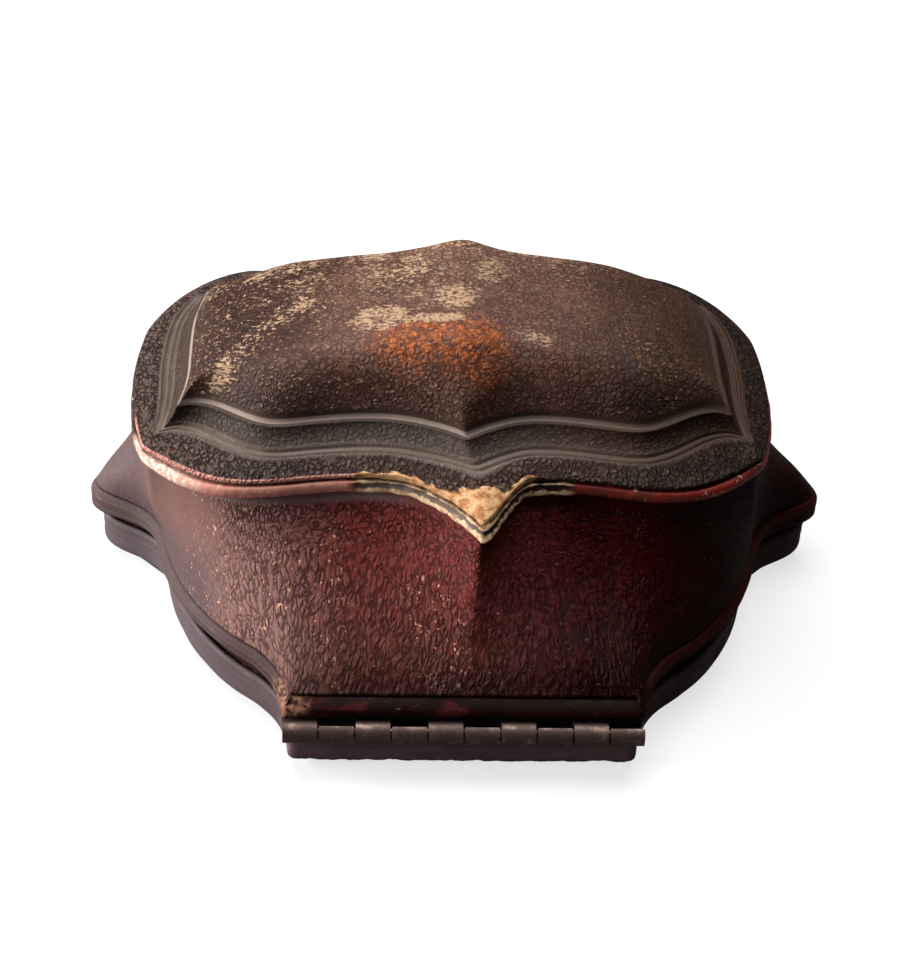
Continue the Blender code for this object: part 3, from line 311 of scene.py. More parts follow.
def grid_faces(rows, size, closed_rows):
    """Quads between rings of the same length."""
    count = rows if closed_rows else rows - 1
    row = np.repeat(np.arange(count), size)
    column = np.tile(np.arange(size), count)
    ahead = (column + 1) % size
    below = (row + 1) % rows
    return np.stack((row * size + column, row * size + ahead, below * size + ahead, below * size + column), 1)


def hoop(name, rings, material, body, zones=None):
    grid = np.array(rings)
    faces = grid_faces(len(rings), grid.shape[1], True).tolist()
    return make(name, grid.reshape(-1, 3), faces, material, body, False, zones)


def capped(name, rings, material, body, zones=None):
    grid = np.array(rings)
    size = grid.shape[1]
    points = grid.reshape(-1, 3).tolist()
    faces = grid_faces(len(rings), size, False).tolist()
    for start, one in ((0, grid[0]), ((len(rings) - 1) * size, grid[-1])):
        points.append(one.mean(0).tolist())
        faces += [(start + i, start + (i + 1) % size, len(points) - 1) for i in range(size)]
    return make(name, points, faces, material, body, False, zones)


def lay_grain(made, size, around, down, seam):
    """Unwrap a hoop in metres: u round the outline, v down its rings."""
    mesh = made.data
    index = np.empty(len(mesh.loops), dtype=int)
    mesh.loops.foreach_get("vertex_index", index)
    index = index.reshape(-1, 4)
    column = (index % size - seam) % size
    wraps = (column.max(1) == size - 1) & (column.min(1) == 0)
    u = around[column]
    u = np.where(wraps[:, None] & (column == 0), around[-1] + (around[-1] - around[-2]), u)
    v = down[index // size]
    layer = mesh.uv_layers.new(name="grain")
    layer.data.foreach_set("uv", (np.stack((u, v), 2) * MM).ravel())


def turned(name, profile, centre, direction, sides, material, body, tube=False):
    """A lathe shape: pairs of radius and distance along the direction, in millimetres."""
    direction = Vector(direction)
    across = direction.orthogonal().normalized()
    up = direction.cross(across)
    rings = []
    for radius, along in profile:
        middle = Vector(centre) + direction * along
        turns = [2 * math.pi * i / sides for i in range(sides)]
        rings.append([middle + across * radius * math.cos(t) + up * radius * math.sin(t) for t in turns])
    grid = np.array([[tuple(p) for p in one] for one in rings])
    faces = grid_faces(len(rings), sides, tube).tolist()
    if not tube:
        faces += [tuple(range(sides)), tuple(range((len(rings) - 1) * sides, len(rings) * sides))]
    made = make(name, grid.reshape(-1, 3), faces, material, body)
    made.data.set_sharp_from_angle(angle=math.radians(35))
    return made


def plug(tree, socket, value):
    """Link or set a node's input."""
    value = getattr(value, "socket", value)
    if isinstance(value, bpy.types.NodeSocket):
        tree.links.new(value, socket)
    elif socket.type == "RGBA" and len(value) == 3:
        socket.default_value = (*value, 1.0)
    else:
        socket.default_value = value


def add_node(tree, kind, inputs=(), **settings):
    """A new node's outputs; inputs go by name or number."""
    made = tree.nodes.new(kind)
    for key, value in settings.items():
        setattr(made, key, value)
    for key, value in dict(inputs).items():
        plug(tree, made.inputs[key], value)
    return made.outputs


class Value:
    """A number from a node, for sums and products; a | b is the larger one."""

    def __init__(self, graph, socket):
        self.graph, self.socket = graph, socket

    def __add__(self, other):
        return self.graph.math("ADD", self, other)

    def __sub__(self, other):
        return self.graph.math("SUBTRACT", self, other)

    def __rsub__(self, other):
        return self.graph.math("SUBTRACT", other, self)

    def __mul__(self, other):
        return self.graph.math("MULTIPLY", self, other)

    def __or__(self, other):
        return self.graph.math("MAXIMUM", self, other)

    __radd__, __rmul__ = __add__, __mul__


class Graph:
    """Builds one node material, with sizes and depths in millimetres."""

    def __init__(self, name):
        self.material = bpy.data.materials.new(name)
        self.material.use_nodes = True
        self.tree = self.material.node_tree
        self.at = self.node("ShaderNodeTexCoord")["Object"]

    def node(self, kind, inputs=(), **settings):
        return add_node(self.tree, kind, inputs, **settings)

    def math(self, operation, *values):
        return Value(self, self.node("ShaderNodeMath", enumerate(values), operation=operation)[0])

    def vector(self, operation, *values):
        return self.node("ShaderNodeVectorMath", enumerate(values), operation=operation)["Vector"]

    def split(self, value, kind="XYZ"):
        return [Value(self, part) for part in self.node("ShaderNodeSeparate" + kind, {0: value})]

    def zones(self):
        """The three shares that a mesh carries at each point."""
        return self.split(self.node("ShaderNodeAttribute", attribute_name="zones")["Color"], "Color")

    def noise(self, size, detail=3.0, roughness=0.5, at=None):
        """Noise from 0 to 1."""
        inputs = {"Vector": at or self.at, "Scale": 1 / (size * MM), "Detail": detail, "Roughness": roughness}
        return Value(self, self.node("ShaderNodeTexNoise", inputs)["Fac"])

    def warp(self, at, size, amount):
        """Coordinates pushed about by noise."""
        push = self.node("ShaderNodeTexNoise", {"Vector": at, "Scale": 1 / (size * MM)})["Color"]
        push = self.vector("SUBTRACT", push, (0.5, 0.5, 0.5))
        return self.vector("ADD", at, self.vector("MULTIPLY", push, (2 * amount * MM,) * 3))

    def cells(self, at, size):
        """Rounded cells from 0 at their edges to 1."""
        inputs = {"Vector": at, "Scale": 1 / (size * MM)}
        edge = self.node("ShaderNodeTexVoronoi", inputs, feature="DISTANCE_TO_EDGE")["Distance"]
        return self.ramp(edge, 0.0, 0.34)

    def pebbles(self, at, size):
        """Close grain from 0 in the folds to 1 on the tops, with some folds run together."""
        joined = self.ramp(self.noise(size * 1.5, 2, 0.5, at), 0.50, 0.66, 0.0, 0.62)
        return (self.cells(at, size) | joined) * 0.74 + self.cells(at, size * 0.55) * 0.26

    def ramp(self, value, low, high, to_low=0.0, to_high=1.0):
        inputs = enumerate((value, low, high, to_low, to_high))
        return Value(self, self.node("ShaderNodeMapRange", inputs, interpolation_type="SMOOTHSTEP")[0])

    def over(self, value, low, high, *to):
        """A ramp between two places in millimetres."""
        return self.ramp(value, low * MM, high * MM, *to)

    def pick(self, share, a, b):
        return Value(self, self.node("ShaderNodeMix", {0: share, 2: a, 3: b})[0])

    def mix(self, share, a, b, blend="MIX"):
        return self.node("ShaderNodeMix", {0: share, 6: a, 7: b}, data_type="RGBA", blend_type=blend)[2]

    def blob(self, at, centre, radii, turn=0.0):
        """Soft 0 to 1 spot round a plan centre, turned by degrees."""
        x, y, z = self.split(self.vector("SUBTRACT", at, (centre[0] * MM, centre[1] * MM, 0.0)))
        c, s = math.cos(math.radians(turn)), math.sin(math.radians(turn))
        along = x * (c / radii[0] / MM) + y * (s / radii[0] / MM)
        aside = x * (-s / radii[1] / MM) + y * (c / radii[1] / MM)
        return self.ramp(along * along + aside * aside, 1.5, 0.1)

    def blobs(self, at, *rows):
        """Several blobs in one."""
        whole = self.blob(at, *rows[0])
        for row in rows[1:]:
            whole = whole | self.blob(at, *row)
        return whole

    def bump(self, height, depth, strength=1.0, **normal):
        """Relief, for a height from 0 to 1."""
        inputs = {"Strength": strength, "Distance": depth * MM, "Height": height, **normal}
        return self.node("ShaderNodeBump", inputs)[0]

    def finish(self, colour, roughness, normal, **values):
        shader = self.tree.nodes["Principled BSDF"]
        for key, value in {"Base Color": colour, "Roughness": roughness, "Normal": normal, **values}.items():
            plug(self.tree, shader.inputs[key.replace("_", " ")], value)
        return self.material


# Painted shade for the folds of the leather's grain
FOLD_SHADE = (0.012, 0.004, 0.003)


def crown_leather():
    """Morocco of the top: small pebbles, smooth grey lines, tops rubbed down to the board."""
    g = Graph("top_morocco")
    place, line, bare_edge = g.zones()
    x, y, z = g.split(g.at)
    border = g.ramp(place, 0.215, 0.2)
    outer = g.ramp(place, 0.497, 0.48) * g.ramp(place, 0.2, 0.215)
    pebble_at = g.warp(g.warp(g.at, 2.6, 0.45), 0.55, 0.16)
    wide_at = g.vector("MULTIPLY", pebble_at, (1.0, 0.8, 1.0))
    relief = g.pick(border, g.pebbles(pebble_at, 0.86), g.pebbles(wide_at, 0.9))

    # Where the leather is rubbed bare
    spots_at = g.warp(g.vector("MULTIPLY", g.at, (1.0, 1.0, 0.0)), 4.0, 1.4)
    strong = g.blobs(
        spots_at, ((-12.6, -6.2), (4.8, 3.2), 8), ((-4.6, -7.6), (5.5, 1.3)), ((-1.4, -2.4), (3.8, 3.6)),
        ((-0.3, 16.0), (5.0, 5.5)),
    )
    medium = g.blobs(
        spots_at, ((-26.5, -2.6), (6.5, 2.4), 40), ((-27.5, 9.6), (7.0, 3.6), 5),
        ((9.2, -9.8), (4.0, 1.6), -30), ((15.0, 11.0), (10.0, 2.6), -8), ((-7.6, 7.0), (2.4, 6.5)),
        ((3.8, 5.0), (3.0, 4.4), -15),
        ((-13.0, 11.5), (6.0, 2.4)), ((-35.5, -11.5), (2.5, 2.0), 46),
    )
    faint = g.blobs(
        spots_at, ((-32.0, -8.5), (9.0, 3.0), 46), ((-24.0, 4.0), (12.0, 3.0), 20), ((-9.0, 4.0), (9.0, 7.0))
    )
    right = g.blob(spots_at, (27.0, -12.0), (4.0, 9.0), 30)
    far = g.over(y, -2, 14, 0.0, 0.36) * g.over(x, 32, 14)
    spread = g.over(x, 30, -16, 0.05, 0.19) * g.over(y, -16, -4, 0.6, 1.0)
    wanted = strong * 0.8 | medium * 0.56 | faint * 0.36 | right * 0.2 | far | spread
    wanted = wanted * g.ramp(g.noise(5.5), 0.3, 0.6, 0.5, 1.1)
    streak_at = g.warp(g.vector("MULTIPLY", g.at, (0.42, 0.95, 0.95)), 1.5, 0.4)
    chance = g.ramp(g.noise(0.38, 4, 0.72, streak_at), 0.31, 0.69) - (relief - 0.5) * 0.22
    bare = g.ramp(wanted - chance, -0.03, 0.07) * g.ramp(place, 0.495, 0.505, 0.12, 1.0) * (1 - line * 0.8)

    # Colour of the crown, the grey border and cove and the orange spots, with painted shade in the folds and
    # painted highlights on the pebble tops
    tone = g.noise(0.9, 4, 0.65)
    colour = g.mix(g.ramp(g.noise(13), 0.35, 0.65), (0.094, 0.043, 0.03), (0.142, 0.067, 0.047))
    colour = g.mix(g.ramp(g.noise(1.2, 4, 0.65), 0.48, 0.72, 0.0, 0.5), colour, (0.14, 0.092, 0.074))
    # Painted shade: the crown's near face darker, much darker on the right
    near_shade = g.over(y + g.noise(9, 2) * (6 * MM), -8, -15, 0.0, 0.75)
    colour = g.mix(near_shade, colour, g.mix(g.over(x, -16, 8), (0.05, 0.02, 0.014), (0.019, 0.0036, 0.002)))
    grey = g.mix(g.noise(3.0, 4, 0.6), (0.032, 0.0165, 0.012), (0.068, 0.039, 0.029))
    # Painted sheen: the border's grey lighter on the left; painted shade: darker on the right
    grey = g.mix(g.over(x, -20, -40), grey, (0.115, 0.08, 0.066))
    grey = g.mix(outer, grey, (0.06, 0.043, 0.035))
    grey = g.mix(g.over(x, -4, 26), grey, (0.04, 0.0165, 0.007))
    colour = g.mix(border | outer, colour, grey)
    orange = g.blobs(spots_at, ((-7.6, -11.4), (7.0, 3.4)), ((0.6, -11.8), (6.0, 4.6)))
    orange = orange * g.ramp(tone, 0.32, 0.6, 0.25, 1.0)
    colour = g.mix(orange, colour, g.mix(g.ramp(tone, 0.35, 0.62), (0.1, 0.014, 0.005), (0.36, 0.09, 0.018)))
    # Painted shade in the folds of the grain and painted highlights on the pebble tops
    grain_fold_shade = g.ramp(relief, 0.56, 0.1) * g.ramp(place, 0.24, 0.19, 0.55, 0.95) * (1 - outer * 0.25)
    top = g.ramp(relief, 0.62, 0.92) * g.ramp(g.noise(0.35, 3, 0.6), 0.45, 0.62)
    colour = g.mix(top * g.ramp(place, 0.24, 0.19, 0.42, 0.75), colour, (0.17, 0.125, 0.1))
    colour = g.mix(grain_fold_shade, colour, FOLD_SHADE)
    # Painted shade: the top darkened on the left and the right, most on the crown's far left
    colour = g.mix(g.over(x, -14, -38), colour, (0.52, 0.46, 0.43), "MULTIPLY")
    colour = g.mix(g.over(x, 8, 30), colour, (0.42, 0.39, 0.31), "MULTIPLY")
    left_crown_shade = g.over(x, -13, -25) * g.ramp(place, 0.5, 0.52) * g.over(y, -15, -8, 0.3, 1.0)
    colour = g.mix(left_crown_shade, colour, (0.5, 0.49, 0.48), "MULTIPLY")

    # Tooled lines, rubbed lighter and partly a painted highlight, the fillet's crest with a painted
    # highlight, the worn edge and the bare board
    line_colour = g.mix(g.noise(1.6, 4, 0.6), (0.085, 0.062, 0.05), (0.19, 0.145, 0.118))
    # Painted highlight on the fillet's crest and painted shade either side of it
    crest_highlight = g.ramp(place, 0.483, 0.489) * g.ramp(place, 0.509, 0.503)
    fillet_highlight_and_shade = g.mix(crest_highlight, (0.05, 0.034, 0.027), (0.235, 0.18, 0.148))
    line_colour = g.mix(g.ramp(place, 0.462, 0.47), line_colour, fillet_highlight_and_shade)
    # Painted shade: the lines darker towards the right
    line_colour = g.mix(g.over(x, 0, 34, 0.0, 0.85), line_colour, (0.044, 0.022, 0.012))
    colour = g.mix(line * 0.9, colour, line_colour)
    edge = g.ramp(place, 0.04, 0.034) * g.over(x, -14.5, -16) * g.over(y, -11, -14)
    edge = edge * g.ramp(g.noise(1.3, 4, 0.6), 0.25, 0.45, 0.5, 1.0)
    colour = g.mix(edge, colour, g.mix(g.noise(1.6, 4, 0.6), (0.3, 0.095, 0.075), (0.46, 0.24, 0.19)))
    bare_colour = g.mix(g.noise(0.8, 4, 0.65), (0.2, 0.11, 0.058), (0.44, 0.3, 0.195))
    # Painted shade: bare patches darker towards the right
    bare_colour = g.mix(g.over(x, 5, 30, 0.0, 0.6), bare_colour, (0.2, 0.09, 0.045))
    colour = g.mix(bare, colour, bare_colour)
    board = g.mix(g.ramp(g.noise(1.3, 4, 0.6), 0.35, 0.6), (0.25, 0.105, 0.038), (0.48, 0.29, 0.145))
    colour = g.mix(bare_edge, colour, board)

    smooth = line | bare_edge | outer * 0.25
    height = relief * (1 - smooth * 0.9) * g.ramp(place, 0.24, 0.19, 0.85, 2.6)
    height = height * g.ramp(g.noise(5, 2), 0.3, 0.7, 0.6, 1.15) - bare * 0.35
    normal = g.bump(height, 0.17, Normal=g.bump(g.noise(0.28, 4, 0.65), 0.06, 0.8))
    rough = g.ramp(g.noise(0.7), 0.3, 0.7, 0.42, 0.6) + (bare | bare_edge) * 0.3
    return g.finish(colour, rough, normal, Specular_IOR_Level=0.14)


def wall_leather():
    """Morocco of the flared wall: pebbles above, long wrinkles below, smooth at the ears."""
    g = Graph("wall_morocco")
    x, y, z = g.split(g.at)
    side = g.math("ABSOLUTE", x - 2 * MM)
    laid = g.node("ShaderNodeUVMap", uv_map="grain")[0]
    loose = g.warp(g.warp(laid, 4.0, 0.9), 0.7, 0.2)
    long = g.vector("MULTIPLY", loose, (1.0, 0.45, 1.0))
    low_share = g.over(z + g.noise(7, 2) * (8 * MM), 33, 24)
    grain = g.pick(low_share, g.pebbles(loose, 0.92), g.pebbles(long, 0.84))
    top_strip = g.over(z, 29.4, 30.2)
    calm = g.over(side + g.noise(6, 2) * (5 * MM), 34, 45) * 0.88 | top_strip * 0.95
    relief = grain * (1 - calm) * g.ramp(g.noise(4), 0.3, 0.7, 0.35, 1.15)

    # Painted shade: the wall darker towards its foot and at the ears, red above
    red_share = g.over(z + g.noise(9, 2) * (6 * MM), 13, 30) * g.over(side, 44, 30)
    colour = g.mix(red_share, (0.026, 0.0082, 0.006), (0.12, 0.0205, 0.017))
    # Painted sheen: paler towards the left, with a lilac sheen on the far left and low down
    colour = g.mix(g.over(x, -14, -34, 0.0, 0.85), colour, (0.19, 0.102, 0.092))
    lilac_sheen = g.over(x, -42, -50) | g.over(x, -33, -39) * g.over(z, 25, 15)
    colour = g.mix(lilac_sheen * 0.9, colour, (0.07, 0.052, 0.053))
    colour = g.mix(g.ramp(g.noise(1.1, 4, 0.65), 0.48, 0.75, 0.0, 0.28), colour, (0.15, 0.08, 0.066))
    # Painted highlights on the pebble tops and painted shade in the folds
    grain_highlight = g.ramp(grain, 0.58, 0.9) * g.ramp(g.noise(0.5, 3, 0.6), 0.42, 0.62) * (0.32 - calm * 0.32)
    colour = g.mix(grain_highlight, colour, (0.18, 0.094, 0.078))
    colour = g.mix(g.ramp(grain, 0.5, 0.08) * (0.7 - calm * 0.7), colour, FOLD_SHADE)
    # Painted sheen: a pale strip under the bead on the left
    colour = g.mix(top_strip * g.over(x, -5, -14), colour, (0.2, 0.125, 0.125))
    # Painted shade: the right half of the wall darkened
    colour = g.mix(g.over(x, -2, 20), colour, (0.22, 0.03, 0.025), "MULTIPLY")

    fleck_at = g.warp(g.vector("MULTIPLY", g.at, (1.0, 0.55, 0.55)), 1.2, 0.5)
    flecked = g.blobs(
        g.at, ((-35, -27), (7, 10)), ((-20, -34), (4, 12), 12), ((-27, -33), (4, 11)), ((-4, -40), (4, 9), 20)
    )
    rare = g.ramp(g.noise(0.6, 3, 0.6, g.warp(g.at, 2, 1)), 0.69, 0.72)
    chips = g.ramp(g.noise(0.55, 4, 0.65, fleck_at), 0.63, 0.66) * flecked | rare * 0.6
    chips = chips * g.over(side, 46, 40) * g.over(x, 30, 0, 0.25, 1.0)
    colour = g.mix(chips, colour, (0.5, 0.28, 0.17))
    normal = g.bump(relief, 0.25, Normal=g.bump(g.noise(0.28, 4, 0.65), 0.06, 0.7))
    rough = g.ramp(g.noise(0.8), 0.3, 0.7, 0.4, 0.56) + chips * 0.3
    return g.finish(colour, rough, normal, Specular_IOR_Level=0.05)


def band_leather(name, deep, main, pale):
    """Smooth skin of the rim band and the tray's side: scuffs, dull dirt, reddish rubbed lines, with a
    painted sheen on the left, painted shade on the band's hinge side and painted light on the tray's frayed
    foot.
    """
    g = Graph(name)
    x, y, z = g.split(g.at)
    along = g.vector("MULTIPLY", g.at, (0.25, 0.25, 1.0))
    colour = g.mix(g.ramp(g.noise(9), 0.35, 0.65), deep, main)
    # Painted sheen: paler towards the left end
    colour = g.mix(g.over(x, -12, -44, 0.0, 0.9), colour, pale)
    colour = g.mix(g.ramp(g.noise(1.6, 4, 0.6, along), 0.52, 0.75, 0.0, 0.18), colour, (0.085, 0.055, 0.05))
    # Painted shade: the band's hinge side darkened, but for its left end
    rear = g.over(y, -42, -46) * g.over(z, 8.2, 9.0)
    colour = g.mix(rear * g.over(x, -26, -20), colour, (0.006, 0.0009, 0.0008))
    # The tray's frayed foot at the hinge, lightened as painted light where it lies in shade
    foot = g.over(y, -42, -47) * g.over(z, 8.0, 7.2, 0.0, 0.85)
    frayed_and_lit = g.mix(g.noise(1.2, 4, 0.65, along), (0.05, 0.034, 0.04), (0.19, 0.13, 0.145))
    colour = g.mix(foot, colour, frayed_and_lit)
    red = g.ramp(g.noise(1.3, 3, 0.6, along), 0.5, 0.62) * rear * g.ramp(g.noise(7, 2), 0.46, 0.58)
    colour = g.mix(red * 0.7, colour, (0.042, 0.0055, 0.0045))
    corner = g.blob(g.warp(g.at, 1.5, 0.7), (-25.5, -47.5), (3.6, 4.6)) * g.over(z, 8, 9)
    tear = corner * g.ramp(g.noise(1.1, 4, 0.65), 0.42, 0.6)
    colour = g.mix(tear, colour, (0.2, 0.098, 0.056))
    rubbed = g.ramp(g.noise(1.2, 5, 0.7, along), 0.6, 0.7) * g.ramp(g.noise(11, 2), 0.45, 0.6)
    colour = g.mix(rubbed * g.over(x, 10, -30, 0.15, 0.8), colour, (0.26, 0.13, 0.1))
    height = g.pebbles(g.warp(g.at, 2, 0.4), 1.1) * 0.25 + g.noise(0.6, 4, 0.6)
    rough = g.ramp(g.noise(2.5), 0.3, 0.7, 0.42, 0.62) + tear * 0.3
    return g.finish(colour, rough, g.bump(height, 0.07, 0.8), Specular_IOR_Level=0.05)


def bead_leather():
    """The bead: pink and rubbed on the left, dark red on the right, torn to the board between."""
    g = Graph("rubbed_bead")
    turn, torn, pink = g.zones()
    x, y, z = g.split(g.at)
    colour = g.mix(g.ramp(g.noise(5), 0.4, 0.6), (0.17, 0.012, 0.008), (0.075, 0.014, 0.01))
    pinks = g.mix(g.noise(1.6, 4, 0.6), (0.36, 0.105, 0.085), (0.56, 0.3, 0.23))
    colour = g.mix(pink * g.ramp(g.noise(1.3, 4, 0.6), 0.25, 0.5, 0.55, 1.0), colour, pinks)
    end = g.over(x, -36, -44) * g.ramp(g.noise(0.7), 0.42, 0.55)
    colour = g.mix(end * pink, colour, (0.62, 0.5, 0.4))
    # Painted shade: the bead darker at the far left
    colour = g.mix(g.over(y, -18, -14) * g.over(x, -24, -30), colour, (0.03, 0.016, 0.013))
    nicks = g.ramp(g.noise(1.5, 4, 0.7), 0.615, 0.66) * g.over(y, 5, -10)
    colour = g.mix(nicks, colour, (0.52, 0.36, 0.25))
    torn_turn = turn + (g.noise(1.6, 4, 0.65) - 0.5) * 0.55
    ridge = g.ramp(torn_turn, 0.25, 0.17) | g.ramp(torn_turn, 0.52, 0.58)
    ridge = ridge * g.ramp(g.noise(0.9, 4, 0.65), 0.3, 0.44)
    # Painted shade: the hollow of the tear dark right of the near point
    hollow = g.mix(g.over(x, 0, 4), (0.115, 0.085, 0.072), (0.03, 0.012, 0.009))
    board = g.mix(g.ramp(g.noise(1.1, 4), 0.35, 0.6), (0.3, 0.165, 0.085), (0.5, 0.36, 0.22))
    colour = g.mix(torn, colour, g.mix(ridge, hollow, board))
    normal = g.bump(g.noise(0.8, 5, 0.65), 0.22, 0.7)
    return g.finish(colour, 0.4 + (torn | nicks) * 0.35, normal, Specular_IOR_Level=0.22)


def browned_brass():
    g = Graph("browned_brass")
    rub = g.noise(2.0, 4, 0.6)
    colour = g.mix(g.ramp(rub, 0.5, 0.7), (0.062, 0.038, 0.032), (0.15, 0.095, 0.072))
    colour = g.mix(g.ramp(g.noise(0.7, 4, 0.7), 0.55, 0.7, 0.0, 0.6), colour, (0.02, 0.014, 0.013))
    normal = g.bump(g.noise(0.5, 4, 0.6), 0.04, 0.6)
    return g.finish(colour, g.ramp(rub, 0.3, 0.7, 0.62, 0.42), normal, Metallic=0.6)


def bright_brass():
    g = Graph("clasp_brass")
    rub = g.noise(1.2, 4, 0.6)
    colour = g.mix(g.ramp(rub, 0.4, 0.65), (0.3, 0.19, 0.085), (0.62, 0.44, 0.2))
    normal = g.bump(g.noise(0.35, 4, 0.6), 0.02, 0.5)
    return g.finish(colour, g.ramp(rub, 0.3, 0.7, 0.45, 0.28), normal, Metallic=1.0)


def spring_steel():
    g = Graph("spring_steel")
    colour = g.mix(g.noise(1.5, 4), (0.22, 0.22, 0.25), (0.42, 0.41, 0.4))
    normal = g.bump(g.noise(0.3), 0.01, 0.5)
    return g.finish(colour, g.ramp(g.noise(0.8), 0.3, 0.7, 0.25, 0.45), normal, Metallic=1.0)


def dark_paper():
    g = Graph("dark_paper")
    fibre = g.noise(0.5, 5, 0.7, g.vector("MULTIPLY", g.at, (1.0, 0.4, 1.0)))
    colour = g.mix(fibre, (0.01, 0.01, 0.014), (0.034, 0.032, 0.04))
    colour = g.mix(g.ramp(g.noise(4, 4), 0.55, 0.75, 0.0, 0.5), colour, (0.07, 0.06, 0.055))
    return g.finish(colour, 0.82, g.bump(fibre, 0.04, 0.5))


def carcass_wood():
    """Softwood, with the covering turned in over the rims."""
    g = Graph("carcass_wood")
    x, y, z = g.split(g.at)
    rings = g.noise(1.6, 4, 0.6, g.vector("MULTIPLY", g.warp(g.at, 12, 1.5), (0.12, 1.0, 1.0)))
    colour = g.mix(g.ramp(rings, 0.35, 0.65), (0.36, 0.22, 0.11), (0.54, 0.37, 0.2))
    rim = g.over(z + g.noise(1.5) * (1.2 * MM), 6.9, 7.1) * g.over(z, 11.8, 11.2)
    colour = g.mix(rim, colour, g.mix(g.noise(1.5), (0.03, 0.012, 0.01), (0.06, 0.022, 0.018)))
    return g.finish(colour, 0.62, g.bump(rings, 0.06, 0.5))


def velvet():
    g = Graph("velvet")
    brushed = g.noise(5, 3, 0.5, g.warp(g.at, 9, 4))
    pile = g.noise(0.22, 2)
    colour = g.mix(g.ramp(brushed, 0.35, 0.65), (0.02, 0.009, 0.044), (0.034, 0.017, 0.072))
    colour = g.mix(g.ramp(pile, 0.4, 0.7, 0.0, 0.4), colour, (0.008, 0.004, 0.03))
    normal = g.bump(pile, 0.15, 0.7, Normal=g.bump(brushed, 0.6, 0.4))
    sheen = {"Sheen_Weight": 0.9, "Sheen_Roughness": 0.35, "Sheen_Tint": (0.46, 0.38, 0.7)}
    return g.finish(colour, 0.9, normal, Specular_IOR_Level=0.15, **sheen)


def satin():
    g = Graph("satin")
    threads = g.noise(0.14, 2, 0.5, g.vector("MULTIPLY", g.at, (1.0, 1.0, 0.15)))
    colour = g.mix(g.ramp(g.noise(9, 4, 0.6), 0.35, 0.7), (0.66, 0.57, 0.4), (0.55, 0.43, 0.27))
    colour = g.mix(g.ramp(threads, 0.3, 0.7, 0.0, 0.25), colour, (0.8, 0.72, 0.56))
    rough = g.ramp(threads, 0.3, 0.7, 0.3, 0.42)
    gloss = {"Sheen_Weight": 0.3, "Sheen_Roughness": 0.3, "Anisotropic": 0.5}
    return g.finish(colour, rough, g.bump(threads, 0.03, 0.6), **gloss)


TOP_LEATHER = crown_leather()
WALL_LEATHER = wall_leather()
BAND_LEATHER = band_leather(
    "band_leather", (0.016, 0.0026, 0.0022), (0.028, 0.004, 0.0032), (0.072, 0.052, 0.05)
)
BASE_LEATHER = band_leather(
    "base_leather_finish", (0.046, 0.028, 0.032), (0.084, 0.05, 0.056), (0.088, 0.07, 0.075)
)
BEAD_LEATHER = bead_leather()
BRASS = browned_brass()
CLASP_BRASS = bright_brass()
STEEL = spring_steel()
PAPER = dark_paper()
WOOD = carcass_wood()
VELVET = velvet()
SATIN = satin()


# Wall of the lid
WALL_TOP_LINE = between(LIP, TOOLED, 0.28)
CREASE_LINE = inset(RIM, 0.88, 2.08)
LEVELS = np.linspace(0, 1, 64)
LEVEL_HEIGHTS = WALL_FOOT + (WALL_TOP - WALL_FOOT) * (1 - LEVELS)
long_flare = monotone(LEVEL_KNOTS, LONG_KNOTS, LEVELS)
ear_flare = monotone(LEVEL_KNOTS, EAR_KNOTS, LEVELS)
rounds = monotone(LEVEL_KNOTS, SOFT_KNOTS, LEVELS)


def flared(top, foot, k):
    share = long_flare[k] + (ear_flare[k] - long_flare[k]) * EAR
    return between(top, rounded(foot, rounds[k]), share)


wall, amounts = [], []
for k, t in enumerate(LEVELS):
    one = ring(flared(WALL_TOP_LINE, CREASE_LINE, k), LEVEL_HEIGHTS[k])
    wall.append(one)
    wrinkle = wobble(one * (1.0, 0.35, 0.35), 1.7, 8.3, 1) * 0.07
    keep = math.sin(math.pi * t) ** 0.5 if 0 < t < 1 else 0
    amounts.append((wobble(one, 11, 3.1) * 0.16 + wrinkle * (1 - EAR)) * keep)
wall = bend_out(wall, amounts)
inner_wall = []
for k in range(0, 64, 7):
    line = inset(flared(WALL_TOP_LINE, CREASE_LINE, k), 0.55)
    inner_wall.append(ring(line, LEVEL_HEIGHTS[k] - 0.4 * (k < 63)))
wall_piece = hoop("wall_skin", wall[::-1] + inner_wall, WALL_LEATHER, "lid")
steps = np.linalg.norm(np.roll(wall[40], -1, 0) - wall[40], axis=1)
around = np.concatenate(([0], np.cumsum(np.roll(steps, -QUARTER))))[:-1]
drop = np.linalg.norm(np.diff(np.array(wall)[:, 0], axis=0), axis=1)
down = np.concatenate(([0], np.cumsum(drop)))[::-1]
down = np.concatenate((down, np.linspace(0, down[0], len(inner_wall))))
lay_grain(wall_piece, COUNT, around, down, QUARTER)
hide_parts("lid_wall_leather")


def tooled_lines(rings, places, depth, width):
    """Depth of the grooves pressed along a skin, which stop at the hinge."""
    index = np.arange(len(rings))
    return depth * sum(bell((index - place) / width) for place in places)[:, None] * (1 - ON_HINGE)


